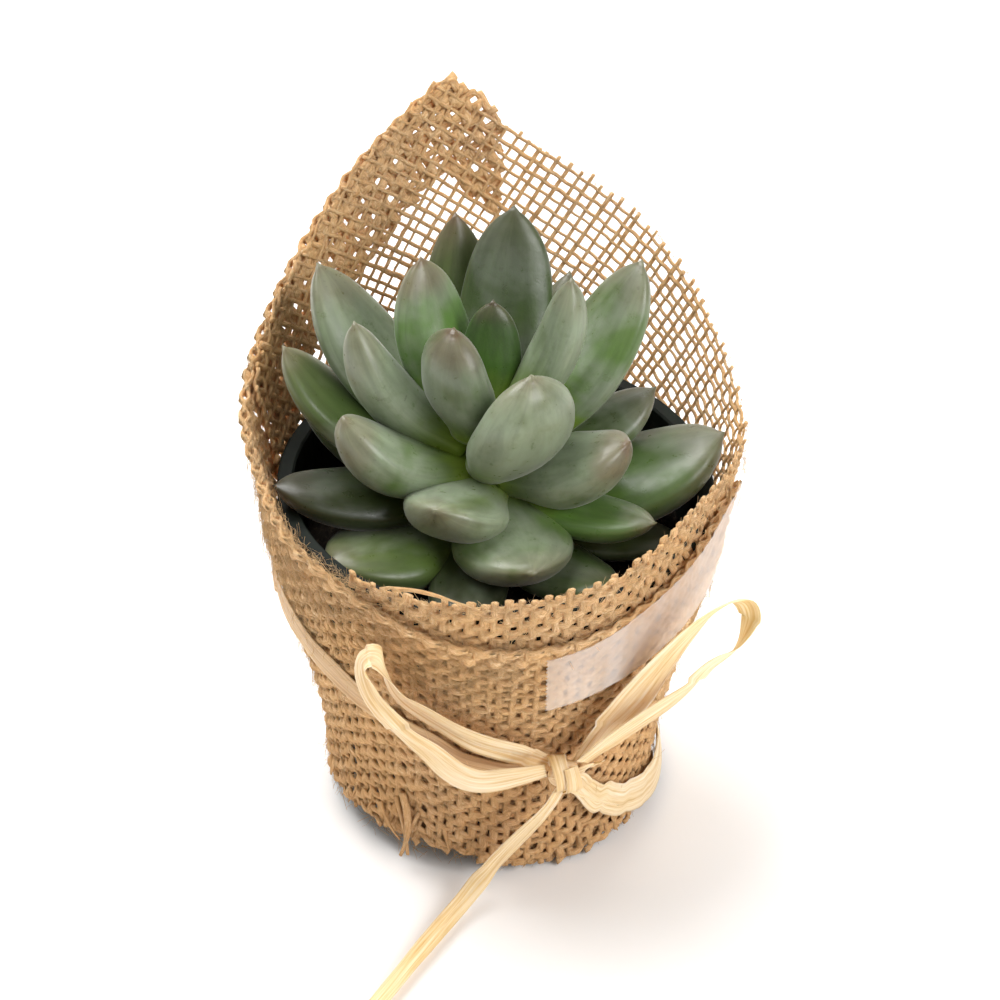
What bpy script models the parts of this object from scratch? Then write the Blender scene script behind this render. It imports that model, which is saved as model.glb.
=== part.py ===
"""A rosette succulent in a nursery pot, wrapped in burlap and tied with raffia.

Metres, +Z up. The origin is the centre of the pot's base, on the surface it stands on.
Azimuths are degrees from the back (+Y), positive towards +X, so 180 is the front.
"""
import math

import bmesh
import bpy
from mathutils import Vector

MM = 0.001
GAP = 0.3 * MM  # clearance between neighbouring pieces

# Nursery pot: a thin tapered tub with a band round its mouth
POT_HEIGHT = 75.5 * MM
POT_BASE_RADIUS = 27.0 * MM
POT_TOP_RADIUS = 41.0 * MM
POT_WALL = 1.2 * MM
POT_FLOOR = 1.6 * MM
RIM_HEIGHT = 8.0 * MM
RIM_STEP = 2.0 * MM
DRAIN_RADIUS = 4.0 * MM
DRAIN_CIRCLE = 17.0 * MM
DRAIN_COUNT = 4
POT_SEGMENTS = 48

# Soil and stem
SOIL_DEPTH_BELOW_RIM = 13.0 * MM
SOIL_DOME = 1.5 * MM
STEM_X = -2.0 * MM
STEM_RADIUS = 5.0 * MM
STEM_TOP_RADIUS = 2.4 * MM
STEM_HEIGHT = 26.5 * MM  # above the soil
STEM_ROOT = 25.0 * MM  # below the soil

# Leaves
LEAF_RINGS = 11
LEAF_SIDES = 10
LEAF_INNER_SHARE = 0.42  # share of the thickness on the flatter, inner face
LEAF_ROOT_GAP = 0.45 * MM
LEAF_ROOM = 37.8 * MM  # room from the stem's axis to the pot's wall that the leaf table is drawn for

# Burlap wrapper
WRAP_WALL = 2.0 * MM
# How far its inside stands off the straight line from the pot's foot to its rim, by share of height
WRAP_SLACK = [(0, 4.0), (0.26, 0.6), (0.53, 0.8), (0.80, 1.8), (1.0, 2.4)]
WRAP_FLARE = 0.225  # how fast it widens above the rim
# Height of its top edge above the pot's rim, by azimuth: the peak is at the back
WRAP_TOP = [
    (-95, 11.5), (-78, 12.5), (-62, 21.5), (-50, 27.5), (-40, 34.5), (-30, 42.5), (-12, 56.1), (-1, 46.5),
    (12, 40.0), (36, 30.0), (59, 18.0), (77, 11.0), (100, 10.5), (124, 10.5), (150, 9.5), (170, 8.5),
    (190, 6.0), (208, 6.0), (220, 7.5), (241, 9.5), (265, 11.5),
]
# Height of its foot over the table, by azimuth: one corner of the hem is lifted at the front left
WRAP_FOOT = [(-190, 0.8), (-180, 1.6), (-172, 4.6), (-130, 5.6), (-105, 3.4), (-85, 0.8), (170, 0.8)]
WRAP_COLUMNS = 72
WRAP_ROWS = (5, 2, 6)  # below the rim, beside it and above it
# Places where the mouth is pushed in: azimuth, depth, half width in degrees
MOUTH_DENTS = [(122, 4.4, 42), (-106, 2.6, 30)]
DENT_START = -13.5  # below the rim, full a little above it
DENT_FULL = 9.5

# Tape strip on the wrapper's right front: azimuth of its centre line and height over the rim
TAPE_PATH = [(101, 1.5), (112, -1.0), (130, -5.5), (150, -10.0), (167, -14.0)]
TAPE_WIDTH = 12.5 * MM
TAPE_THICKNESS = 0.4 * MM

# Raffia
BAND_HEIGHT = 32.0 * MM
BAND_TILT = 24.0 * MM  # higher on the left, lower on the right
BAND_WIDTH = 7.0 * MM
BAND_THICKNESS = 0.9 * MM
BAND_SEGMENTS = 60
KNOT_AZIMUTH = 160.5
KNOT_HEIGHT = 35.0 * MM
KNOT_RADIUS = 3.4 * MM
KNOT_BULGE = 1.15  # the knot is a little taller than wide
KNOT_PULL_SPREAD = 30.0  # degrees of the band that the knot lifts
RIBBON_THICKNESS = 0.7 * MM
RIBBON_NECK = 0.45  # share of its width that a ribbon keeps where it enters the knot
LOOP_WIDTH = 5.0 * MM
TAIL_DIAMETER = 4.0 * MM
SHORT_TAIL_WIDTH = 2.4 * MM

# Routes of the bow's loops and short end, in millimetres: how far round the wrapper from the knot's
# side, height over the knot, and how far off the wrapper
LOOP_LEFT = [
    (-0.7, 1.4, 3.3), (-4.3, 5.7, 3.6), (-12.8, 10.3, 3.4), (-21.6, 16.7, 3.2),
    (-27.6, 22.6, 3.7), (-30.1, 30.1, 5.5), (-31.0, 35.7, 7.4), (-32.3, 37.8, 9.5),
    (-33.0, 33.8, 10.0), (-30.5, 25.1, 9.4), (-25.2, 16.8, 9.0), (-19.7, 9.9, 8.4),
    (-15.1, 3.6, 7.7), (-10.8, 0.6, 7.3), (-5.2, 1.5, 6.9), (-0.7, 2.7, 6.9),
]
LOOP_RIGHT = [
    (0.7, 0.6, 3.4), (3.8, 7.5, 3.5), (7.5, 15.4, 4.4), (10.8, 25.3, 5.9),
    (14.3, 33.7, 8.0), (18.6, 38.6, 9.9), (22.3, 40.8, 12.0), (24.2, 40.3, 14.0),
    (24.5, 37.0, 14.9), (23.2, 33.7, 15.0), (21.8, 29.7, 14.5), (17.7, 26.8, 13.0),
    (14.9, 22.0, 11.5), (11.9, 18.3, 10.3), (7.9, 14.0, 8.9), (3.4, 8.9, 7.9),
    (0.7, 3.6, 7.2),
]
TAIL_SHORT = [
    (1.7, -2.2, 3.1), (4.0, -3.7, 2.6), (7.0, -5.7, 2.2),
]

# Route of the long free end, in millimetres in the object's own frame
TAIL_LONG = [
    (12.4, -42.2, 28.6), (9.8, -41.8, 24.0), (6.8, -40.8, 18.8), (3.8, -39.8, 13.6), (1.0, -39.4, 9.0),
    (-1.6, -40.6, 5.4), (-4.2, -43.4, 3.2), (-7.2, -47.8, 2.3), (-10.6, -53.6, 2.1), (-14.4, -60.4, 2.1),
    (-18.4, -67.8, 2.1), (-22.4, -74.8, 2.1), (-26.0, -81.0, 2.1),
]

# Leaves: azimuth, height over the soil where it leaves the stem, distance of the tip from the stem's
# axis, height of the tip over the soil, width, thickness, all in degrees and millimetres, and the bend:
# 0.5 is straight, less sets out lower and curves up towards the tip.
LEAVES = [
    # the crown
    (-130, 26.5, 8.5, 52.5, 15.0, 9.5, 0.40),
    (5, 27.5, 9.0, 49.0, 11.0, 6.5, 0.44),
    (148, 20.4, 15.6, 47.5, 19.5, 10.2, 0.26),
    (71, 25.5, 16.5, 57.0, 10.5, 8.5, 0.33),
    (-46, 24.0, 18.5, 56.0, 16.0, 8.0, 0.31),
    (-91, 21.0, 25.5, 50.0, 11.5, 9.5, 0.32),
    # the middle ring
    (9, 20.5, 28.5, 58.0, 18.0, 8.5, 0.36),
    (-112, 16.5, 30.0, 34.5, 14.0, 10.0, 0.31),
    (-160, 14.0, 27.5, 21.5, 18.5, 9.0, 0.40),
    (111, 16.5, 30.0, 28.5, 17.5, 11.0, 0.40),
    (55, 18.0, 36.0, 51.0, 18.0, 8.5, 0.37),
    (-58, 17.5, 39.5, 48.5, 18.0, 9.0, 0.37),
    (163, 11.0, 32.5, 11.5, 18.5, 8.5, 0.35),
    (84, 7.5, 46.5, 21.5, 20.0, 9.5, 0.31),
    (-76, 13.0, 41.0, 36.5, 15.5, 7.5, 0.32),
    (-12, 14.0, 33.5, 53.0, 15.0, 8.5, 0.27),
    # the outer ring
    (26, 11.5, 36.0, 40.0, 12.5, 8.0, 0.36),
    (118, 12.0, 37.0, 16.5, 11.5, 6.5, 0.36),
    (-129, 3.5, 38.0, 9.0, 18.5, 9.0, 0.47),
    (-105, 10.5, 42.0, 18.5, 16.0, 8.5, 0.40),
    (138, 2.0, 36.5, 8.0, 14.5, 6.5, 0.36),
    (66, 13.5, 36.0, 25.0, 13.5, 7.5, 0.40),
    (-67, 6.0, 40.5, 28.0, 12.0, 7.0, 0.26),
    (-173, 4.5, 36.0, 4.5, 12.0, 7.0, 0.47),
    (101, 3.5, 39.0, 5.0, 12.5, 6.0, 0.47),
    (-38, 11.0, 38.5, 28.5, 13.5, 7.0, 0.37),
    (-2, 9.0, 41.0, 28.5, 13.0, 7.0, 0.40),
    (48, 3.0, 37.5, 11.0, 12.5, 7.5, 0.45),
    (17, 5.5, 41.0, 17.0, 12.0, 7.0, 0.44),
    (-52, 2.5, 36.5, 9.0, 12.5, 7.0, 0.45),
    (-16, 4.0, 36.5, 9.5, 12.0, 7.0, 0.49),
]


def polar(azimuth, radius, height):
    """A point at an azimuth in degrees, a radius and a height in metres."""
    angle = math.radians(azimuth)
    return Vector((radius * math.sin(angle), radius * math.cos(angle), height))


def smoothstep(low, high, value):
    t = min(max((value - low) / (high - low), 0.0), 1.0)
    return t * t * (3 - 2 * t)


def interpolate(table, key):
    """Straight-line value of a sorted (key, value) table, held at its ends."""
    if key <= table[0][0]:
        return table[0][1]
    for (k0, v0), (k1, v1) in zip(table, table[1:]):
        if key <= k1:
            return v0 + (v1 - v0) * (key - k0) / (k1 - k0)
    return table[-1][1]


def angle_between(a, b):
    """Signed difference of two azimuths, from -180 to 180."""
    return (a - b + 180.0) % 360.0 - 180.0


def make_material(name, colour, roughness):
    material = bpy.data.materials.new(name)
    material.use_nodes = True
    shader = material.node_tree.nodes["Principled BSDF"]
    shader.inputs["Base Color"].default_value = (*colour, 1.0)
    shader.inputs["Roughness"].default_value = roughness
    shader.inputs["Metallic"].default_value = 0.0
    return material


def add_object(name, vertices, faces, material):
    """One closed, smooth-shaded object from its points and faces."""
    mesh = bpy.data.meshes.new(name)
    mesh.from_pydata(vertices, [], faces)
    mesh.materials.append(material)
    shell = bmesh.new()
    shell.from_mesh(mesh)
    bmesh.ops.recalc_face_normals(shell, faces=shell.faces)
    shell.to_mesh(mesh)
    shell.free()
    mesh.shade_smooth()
    mesh.set_sharp_from_angle(angle=math.radians(40))
    thing = bpy.data.objects.new(name, mesh)
    bpy.context.collection.objects.link(thing)
    return thing


def turned(name, profile, material, segments=POT_SEGMENTS):
    """A solid of revolution about Z from (radius, height) points that start and end on the axis."""
    vertices = [(0, 0, profile[0][1]), (0, 0, profile[-1][1])]
    rings = profile[1:-1]
    for radius, height in rings:
        vertices += [tuple(polar(360 * i / segments, radius, height)) for i in range(segments)]
    faces = []
    last = 2 + (len(rings) - 1) * segments
    for i in range(segments):
        j = (i + 1) % segments
        faces.append((0, 2 + i, 2 + j))
        faces.append((1, last + j, last + i))
        for row in range(len(rings) - 1):
            a = 2 + row * segments
            faces.append((a + i, a + segments + i, a + segments + j, a + j))
    return add_object(name, vertices, faces, material)


def lofted(name, rings, material, start=None, end=None, closed=False):
    """A solid through rings of equal length, closed by a point or a flat cap at each end, or on itself."""
    count = len(rings[0])
    vertices = [tuple(point) for ring in rings for point in ring]
    faces = []
    for row in range(len(rings) if closed else len(rings) - 1):
        a = row * count
        b = (row + 1) % len(rings) * count
        for i in range(count):
            j = (i + 1) % count
            faces.append((a + i, a + j, b + j, b + i))
    if closed:
        return add_object(name, vertices, faces, material)
    for row, pole in ((0, start), (len(rings) - 1, end)):
        a = row * count
        if pole is None:
            faces.append(tuple(range(a, a + count)))
            continue
        vertices.append(tuple(pole))
        faces += [(a + i, a + (i + 1) % count, len(vertices) - 1) for i in range(count)]
    return add_object(name, vertices, faces, material)


def smooth_route(points, samples):
    """Evenly numbered points on a smooth curve through the route's own points."""
    route = [Vector(point) * MM for point in points]
    route = [route[0] * 2 - route[1]] + route + [route[-1] * 2 - route[-2]]
    spans = len(points) - 1
    result = []
    for n in range(samples):
        position = n / (samples - 1) * spans
        i = min(int(position), spans - 1)
        t = position - i
        a, b, c, d = route[i:i + 4]
        result.append(0.5 * (2 * b + (c - a) * t + (2 * a - 5 * b + 4 * c - d) * t * t
                             + (3 * b - 3 * c + d - a) * t ** 3))
    return result


# Nursery pot ---------------------------------------------------------------------------------

def pot_outer_radius(height):
    """Outer radius of the pot's tapered wall, without its rim."""
    return POT_BASE_RADIUS + (POT_TOP_RADIUS - POT_BASE_RADIUS) * height / (POT_HEIGHT - RIM_HEIGHT)


def pot_inner_radius(height):
    return min(pot_outer_radius(height), POT_TOP_RADIUS) - POT_WALL


def make_pot(material):
    rim_low = POT_HEIGHT - RIM_HEIGHT
    rim_radius = POT_TOP_RADIUS + RIM_STEP
    edge = POT_WALL / 3  # small rounding of the rim's corners
    profile = [
        (0, 0), (POT_BASE_RADIUS - POT_WALL, 0), (POT_BASE_RADIUS, POT_WALL),
        (pot_outer_radius(rim_low), rim_low), (rim_radius - edge, rim_low), (rim_radius, rim_low + edge),
        (rim_radius, POT_HEIGHT - edge), (rim_radius - edge, POT_HEIGHT),
        (pot_inner_radius(POT_HEIGHT) + edge, POT_HEIGHT), (pot_inner_radius(POT_HEIGHT), POT_HEIGHT - edge),
        (pot_inner_radius(rim_low), rim_low), (pot_inner_radius(POT_FLOOR), POT_FLOOR), (0, POT_FLOOR),
    ]
    pot = turned("nursery_pot", profile, material)
    holes = bmesh.new()
    for i in range(DRAIN_COUNT):
        made = bmesh.ops.create_cone(holes, cap_ends=True, segments=16, radius1=DRAIN_RADIUS,
                                     radius2=DRAIN_RADIUS, depth=POT_FLOOR * 4)
        place = polar(45 + 360 * i / DRAIN_COUNT, DRAIN_CIRCLE, POT_FLOOR / 2)
        bmesh.ops.translate(holes, verts=made["verts"], vec=place)
    mesh = bpy.data.meshes.new("drain_cutter")
    holes.to_mesh(mesh)
    holes.free()
    cutter = bpy.data.objects.new("drain_cutter", mesh)
    bpy.context.collection.objects.link(cutter)
    cutter.hide_render = True
    cutter.display_type = "WIRE"
    cut = pot.modifiers.new("drain_holes", "BOOLEAN")
    cut.object = cutter
    cut.operation = "DIFFERENCE"


# Soil and stem -------------------------------------------------------------------------------

def soil_top():
    return POT_HEIGHT - SOIL_DEPTH_BELOW_RIM


def stem_radius(height):
    """Radius of the stem at a height: straight in the soil, tapering above it."""
    share = min(max((height - soil_top()) / STEM_HEIGHT, 0.0), 1.0)
    return STEM_RADIUS + (STEM_TOP_RADIUS - STEM_RADIUS) * share


def make_soil(material):
    """A plug of soil with a slightly raised middle and a socket that the stem stands in."""
    top = soil_top()
    low = POT_FLOOR + GAP
    socket_floor = top - STEM_ROOT - GAP
    socket = STEM_RADIUS + GAP
    count = POT_SEGMENTS

    def ring(radius, height, offset=0.0):
        return [polar(360 * i / count, radius, height) + Vector((offset, 0, 0)) for i in range(count)]

    edge_radius = pot_inner_radius(top - SOIL_DOME) - GAP
    middle = (edge_radius + socket) / 2
    rings = [
        ring(pot_inner_radius(low) - GAP, low),
        ring(edge_radius, top - SOIL_DOME),
        ring(edge_radius * 0.96, top - SOIL_DOME * 0.7),
        ring(middle, top - SOIL_DOME * 0.3, STEM_X / 2),
        ring(socket + 3 * MM, top, STEM_X),
        ring(socket, top, STEM_X),
        ring(socket, socket_floor, STEM_X),
    ]
    return lofted("potting_soil", rings, material, Vector((0, 0, low)), Vector((STEM_X, 0, socket_floor)))


def make_stem(material):
    top = soil_top()
    heights = [top - STEM_ROOT, top - STEM_ROOT / 2, top] + [top + STEM_HEIGHT * i / 4 for i in range(1, 5)]
    rings = []
    for height in heights:
        radius = stem_radius(height) - (0.4 * STEM_RADIUS if height == heights[0] else 0)
        rings.append([polar(30 * i, radius, height) + Vector((STEM_X, 0, 0)) for i in range(12)])
    end = Vector((STEM_X, 0, heights[-1] + STEM_TOP_RADIUS / 2))
    return lofted("stem", rings, material, Vector((STEM_X, 0, heights[0] - GAP / 3)), end)


# Leaves --------------------------------------------------------------------------------------

def leaf_fullness(t):
    """Share of the full width and thickness at t along a leaf, from its foot to just before its tip."""
    foot = 0.29 + 0.71 * math.sin(math.pi / 2 * min(t / 0.62, 1.0)) ** 1.25
    head = 1.0 if t < 0.62 else max(1 - ((t - 0.62) / 0.40) ** 2.3, 0.0) ** 0.62
    return foot * head


def make_leaf(name, leaf, material):
    azimuth, foot_height, reach, tip_height, width, thickness, bend = leaf
    spread = (POT_TOP_RADIUS - POT_WALL - abs(STEM_X)) / LEAF_ROOM
    foot_height = soil_top() + foot_height * MM
    angle = math.radians(azimuth)
    outward = Vector((math.sin(angle), math.cos(angle), 0))
    sideways = Vector((math.cos(angle), -math.sin(angle), 0))
    up = Vector((0, 0, 1))
    axis = Vector((STEM_X, 0, 0))
    foot = axis + outward * (stem_radius(foot_height) + LEAF_ROOT_GAP) + up * foot_height
    tip = axis + outward * reach * spread * MM + up * (soil_top() + tip_height * MM)
    rise = tip.z - foot.z
    run = (tip - foot).dot(outward)
    knee = foot + outward * run * (1 - bend) * 0.9 + up * rise * bend * 0.9
    rings = []
    for n in range(LEAF_RINGS):
        t = 0.02 + 0.96 * n / (LEAF_RINGS - 1)
        centre = foot * (1 - t) ** 2 + knee * 2 * t * (1 - t) + tip * t * t
        along = ((knee - foot) * (1 - t) + (tip - knee) * t).normalized()
        inner = sideways.cross(along).normalized()
        if inner.z < 0:
            inner.negate()
        half_width = width * spread * MM / 2 * leaf_fullness(t)
        depth = thickness * spread * MM * leaf_fullness(t) ** 0.85
        ring = []
        for i in range(LEAF_SIDES):
            turn = 2 * math.pi * i / LEAF_SIDES
            side = math.cos(turn) * half_width
            face = math.sin(turn)
            face *= depth * (LEAF_INNER_SHARE if face > 0 else 1 - LEAF_INNER_SHARE)
            ring.append(centre + sideways * side + inner * face)
        rings.append(ring)
    return lofted(name, rings, material, foot, tip)


# Burlap wrapper ------------------------------------------------------------------------------

def pot_skin(height):
    """Outer radius of the pot with its rim, and nothing above it."""
    if height > POT_HEIGHT + GAP:
        return 0.0
    if height >= POT_HEIGHT - RIM_HEIGHT - GAP:
        return POT_TOP_RADIUS + RIM_STEP
    return pot_outer_radius(height)


def wrap_radius(azimuth, height):
    """Outer radius of the wrapper: its wall is laid on the outside of the space it leaves."""
    rim = POT_TOP_RADIUS + RIM_STEP
    share = min(height / POT_HEIGHT, 1.0)
    radius = POT_BASE_RADIUS + (rim - POT_BASE_RADIUS) * share + interpolate(WRAP_SLACK, share) * MM
    radius += WRAP_FLARE * max(height - POT_HEIGHT, 0.0)
    strength = smoothstep(DENT_START, DENT_FULL, (height - POT_HEIGHT) / MM)
    for centre, depth, spread in MOUTH_DENTS:
        near = min(abs(angle_between(azimuth, centre)) / spread, 1.0)
        radius -= depth * MM * strength * 0.5 * (1 + math.cos(math.pi * near))
    return max(radius, pot_skin(height) + GAP * 1.5) + WRAP_WALL


def around(table, azimuth):
    """Value in millimetres of a table that runs once round the wrapper."""
    first = table[0][0]
    return interpolate(table, (azimuth - first) % 360.0 + first) * MM


def wrap_top(azimuth):
    return POT_HEIGHT + around(WRAP_TOP, azimuth)


def wrap_heights(azimuth):
    """Heights of one column's rows, with a row at each edge of the pot's rim."""
    stops = [around(WRAP_FOOT, azimuth), POT_HEIGHT - RIM_HEIGHT, POT_HEIGHT, wrap_top(azimuth)]
    heights = [stops[0]]
    for low, high, rows in zip(stops, stops[1:], WRAP_ROWS):
        heights += [low + (high - low) * (n + 1) / rows for n in range(rows)]
    return heights


def make_wrap(material):
    """A cone of cloth, open at both ends, rising to its peak at the back."""
    peak = max(WRAP_TOP, key=lambda point: point[1])[0]
    outside = []
    inside = []
    for column in range(WRAP_COLUMNS):
        azimuth = peak + 360.0 * column / WRAP_COLUMNS
        for height in wrap_heights(azimuth):
            radius = wrap_radius(azimuth, height)
            outside.append(polar(azimuth, radius, height))
            inside.append(polar(azimuth, radius - WRAP_WALL, height))
    offset = len(outside)
    rows = sum(WRAP_ROWS) + 1
    top = rows - 1
    faces = []
    for column in range(WRAP_COLUMNS):
        a = column * rows
        b = (column + 1) % WRAP_COLUMNS * rows
        for row in range(top):
            faces.append((a + row, b + row, b + row + 1, a + row + 1))
            faces.append((offset + a + row, offset + a + row + 1, offset + b + row + 1, offset + b + row))
        faces.append((a, offset + a, offset + b, b))
        faces.append((a + top, b + top, offset + b + top, offset + a + top))
    return add_object("burlap_wrap", [tuple(p) for p in outside + inside], faces, material)


# Tape and raffia -----------------------------------------------------------------------------

def strap(path, width, thickness):
    """Rings of a flat strap that lies on the wrapper along (azimuth, height in metres) points."""
    rings = []
    for azimuth, height in path:
        rows = [height - width / 2, height, height + width / 2]
        inner = [polar(azimuth, wrap_radius(azimuth, row) + GAP * 2, row) for row in rows]
        outer = [polar(azimuth, wrap_radius(azimuth, row) + GAP * 2 + thickness, row) for row in rows]
        rings.append(inner + outer[::-1])
    return rings


def make_tape(material):
    steps = 15
    last, first = TAPE_PATH[0][0], TAPE_PATH[-1][0]
    path = []
    for n in range(steps):
        azimuth = first + (last - first) * n / (steps - 1)
        path.append((azimuth, POT_HEIGHT + interpolate(TAPE_PATH, azimuth) * MM))
    return lofted("tape_strip", strap(path, TAPE_WIDTH, TAPE_THICKNESS), material)


def band_height(azimuth):
    """The band is a tilted ring that the knot pulls up a little at the front."""
    pull = KNOT_HEIGHT - (BAND_HEIGHT - BAND_TILT * math.sin(math.radians(KNOT_AZIMUTH)))
    share = min(abs(angle_between(azimuth, KNOT_AZIMUTH)) / KNOT_PULL_SPREAD, 1.0)
    return BAND_HEIGHT - BAND_TILT * math.sin(math.radians(azimuth)) + pull * (1 - share) ** 2


def make_band(material):
    azimuths = [360.0 * i / BAND_SEGMENTS for i in range(BAND_SEGMENTS)]
    path = [(azimuth, band_height(azimuth)) for azimuth in azimuths]
    return lofted("raffia_band", strap(path, BAND_WIDTH, BAND_THICKNESS), material, closed=True)


def knot_centre():
    """The knot sits on the band."""
    half = BAND_WIDTH / 2
    seat = max(wrap_radius(KNOT_AZIMUTH, KNOT_HEIGHT + step) for step in (-half, 0.0, half))
    return polar(KNOT_AZIMUTH, seat + GAP * 3 + BAND_THICKNESS + KNOT_RADIUS, KNOT_HEIGHT)


def make_knot(material):
    shell = bmesh.new()
    bmesh.ops.create_uvsphere(shell, u_segments=12, v_segments=8, radius=KNOT_RADIUS)
    for vertex in shell.verts:
        vertex.co.z *= KNOT_BULGE
        vertex.co += knot_centre()
    mesh = bpy.data.meshes.new("raffia_knot")
    shell.to_mesh(mesh)
    shell.free()
    mesh.materials.append(material)
    mesh.shade_smooth()
    knot = bpy.data.objects.new("raffia_knot", mesh)
    bpy.context.collection.objects.link(knot)
    return knot


def beside_knot(around_mm, rise_mm, off_mm):
    """A point given from the knot: the first distance is measured from the knot's side."""
    height = KNOT_HEIGHT + rise_mm * MM
    arc = around_mm * MM + math.copysign(KNOT_RADIUS, around_mm)
    radius = wrap_radius(KNOT_AZIMUTH, height)
    azimuth = KNOT_AZIMUTH - math.degrees(arc / radius)
    return polar(azimuth, wrap_radius(azimuth, height) + off_mm * MM, height) / MM


def make_ribbon(name, points, width, samples, material, necks=(True, True)):
    """A flat ribbon that faces outwards and up, and narrows where it enters the knot."""
    route = smooth_route([beside_knot(*point) for point in points], samples)
    facing = (polar(KNOT_AZIMUTH, 0.75, 0) + Vector((0, 0, 0.6))).normalized()
    rings = []
    for n, centre in enumerate(route):
        along = (route[min(n + 1, samples - 1)] - route[max(n - 1, 0)]).normalized()
        share = 1.0
        if necks[0]:
            share = min(share, n / samples * 4)
        if necks[1]:
            share = min(share, (samples - 1 - n) / samples * 4)
        half = width / 2 * (RIBBON_NECK + (1 - RIBBON_NECK) * share)
        across = along.cross(facing).normalized()
        normal = across.cross(along).normalized() * RIBBON_THICKNESS / 2
        rings.append([centre + across * half + normal, centre + across * half - normal,
                      centre - across * half - normal, centre - across * half + normal])
    return lofted(name, rings, material)


def make_long_tail(material):
    """The long free end: a plain tube from the knot down to the table and along it."""
    curve = bpy.data.curves.new("raffia_tail_long", "CURVE")
    curve.dimensions = "3D"
    curve.bevel_depth = TAIL_DIAMETER / 2
    curve.bevel_resolution = 2
    curve.use_fill_caps = True
    curve.materials.append(material)
    route = smooth_route(TAIL_LONG, 26)
    spline = curve.splines.new("POLY")
    spline.points.add(len(route) - 1)
    for point, place in zip(spline.points, route):
        point.co = (*place, 1.0)
    tail = bpy.data.objects.new("raffia_tail_long", curve)
    bpy.context.collection.objects.link(tail)
    return tail


def build():
    for thing in list(bpy.data.objects):
        bpy.data.objects.remove(thing, do_unlink=True)
    leaf_green = make_material("leaf", (0.22, 0.30, 0.22), 0.45)
    burlap = make_material("burlap", (0.48, 0.31, 0.16), 0.95)
    raffia = make_material("raffia", (0.84, 0.68, 0.42), 0.55)
    make_pot(make_material("pot_plastic", (0.02, 0.035, 0.03), 0.5))
    make_soil(make_material("soil", (0.02, 0.015, 0.012), 1.0))
    make_stem(make_material("stem", (0.20, 0.26, 0.10), 0.6))
    for number, leaf in enumerate(LEAVES, 1):
        make_leaf(f"leaf_{number:02d}", leaf, leaf_green)
    make_wrap(burlap)
    make_tape(make_material("tape", (0.80, 0.74, 0.66), 0.4))
    make_band(raffia)
    make_knot(raffia)
    make_ribbon("raffia_loop_left", LOOP_LEFT, LOOP_WIDTH, 34, raffia)
    make_ribbon("raffia_loop_right", LOOP_RIGHT, LOOP_WIDTH, 32, raffia)
    make_ribbon("raffia_tail_short", TAIL_SHORT, SHORT_TAIL_WIDTH, 6, raffia, necks=(False, False))
    make_long_tail(raffia)


build()
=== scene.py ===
import math

import bpy
import numpy as np
from mathutils import Matrix, Vector


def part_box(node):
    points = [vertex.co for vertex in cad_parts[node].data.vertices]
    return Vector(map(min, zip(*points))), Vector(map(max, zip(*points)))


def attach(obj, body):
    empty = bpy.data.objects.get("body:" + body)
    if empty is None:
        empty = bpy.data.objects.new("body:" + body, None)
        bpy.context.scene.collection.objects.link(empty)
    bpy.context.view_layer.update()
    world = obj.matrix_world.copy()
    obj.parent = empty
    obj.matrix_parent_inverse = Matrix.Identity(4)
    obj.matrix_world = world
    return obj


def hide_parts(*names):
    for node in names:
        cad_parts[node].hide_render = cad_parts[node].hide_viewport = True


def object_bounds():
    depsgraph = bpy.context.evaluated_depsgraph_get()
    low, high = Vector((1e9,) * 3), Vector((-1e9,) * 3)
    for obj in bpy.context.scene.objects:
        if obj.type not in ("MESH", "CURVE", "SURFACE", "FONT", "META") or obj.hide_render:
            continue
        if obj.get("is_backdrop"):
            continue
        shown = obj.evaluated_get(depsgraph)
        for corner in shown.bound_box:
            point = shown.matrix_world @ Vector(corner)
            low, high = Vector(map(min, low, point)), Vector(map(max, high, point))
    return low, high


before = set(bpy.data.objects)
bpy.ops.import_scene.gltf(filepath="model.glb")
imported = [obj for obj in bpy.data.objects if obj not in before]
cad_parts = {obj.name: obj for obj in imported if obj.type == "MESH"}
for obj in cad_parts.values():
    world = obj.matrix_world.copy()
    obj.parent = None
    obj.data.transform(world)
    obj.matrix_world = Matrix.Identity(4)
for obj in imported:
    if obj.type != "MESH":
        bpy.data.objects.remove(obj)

CAD_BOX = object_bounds()
MM = 0.001  # lengths below are in millimetres unless they say metres, and build_mesh turns them into metres
BODY = "root"

# Camera: a long lens, looking down at the front of the pot
CAMERA_ELEVATION = 39.0
CAMERA_DISTANCE = 750.0
CAMERA_TARGET = (0.0, 0.0, 55.0)
CAMERA_ROLL = 1.2
CAMERA_LENS = 135.0
CAMERA_SENSOR = 36.0
CAMERA_AIM_RIGHT = 0.0016  # how far the aim passes the target, as tangents
CAMERA_AIM_UP = 0.016

# The cone that the cloth is wound on, and the threads
CONE_ANGLE = math.radians(10.0)
CONE_APEX_DEPTH = 189.0  # below the table
THREAD_PITCH = 2.42
THREAD_STEP = 0.84
THREAD_SIDES = 6
THREAD_RIPPLE = 0.07  # how far a thread strays from its line over a few steps, and over many
THREAD_DRIFT = 0.16
THREAD_FLATNESS = 0.75  # depth as a share of width, up to the deepest
THREAD_DEEPEST = 0.84
SHORTEST_RUN = 4  # in steps: shorter scraps of thread are left out
CLOTH_MARGIN = 4.0  # how far threads run on past the cloth before they are cut to its outline
WEAVE_SWING = 0.24  # a thread's rise and fall as it passes over and under, as a share of its width

# The two layers of the cloth: the azimuths where each starts and ends and where its edge is lowest
INNER_SPAN = (-78.0, 214.0)
OUTER_SPAN = (99.0, 361.0)
INNER_MIDDLE = 172.0
OUTER_MIDDLE = 176.0
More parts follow.
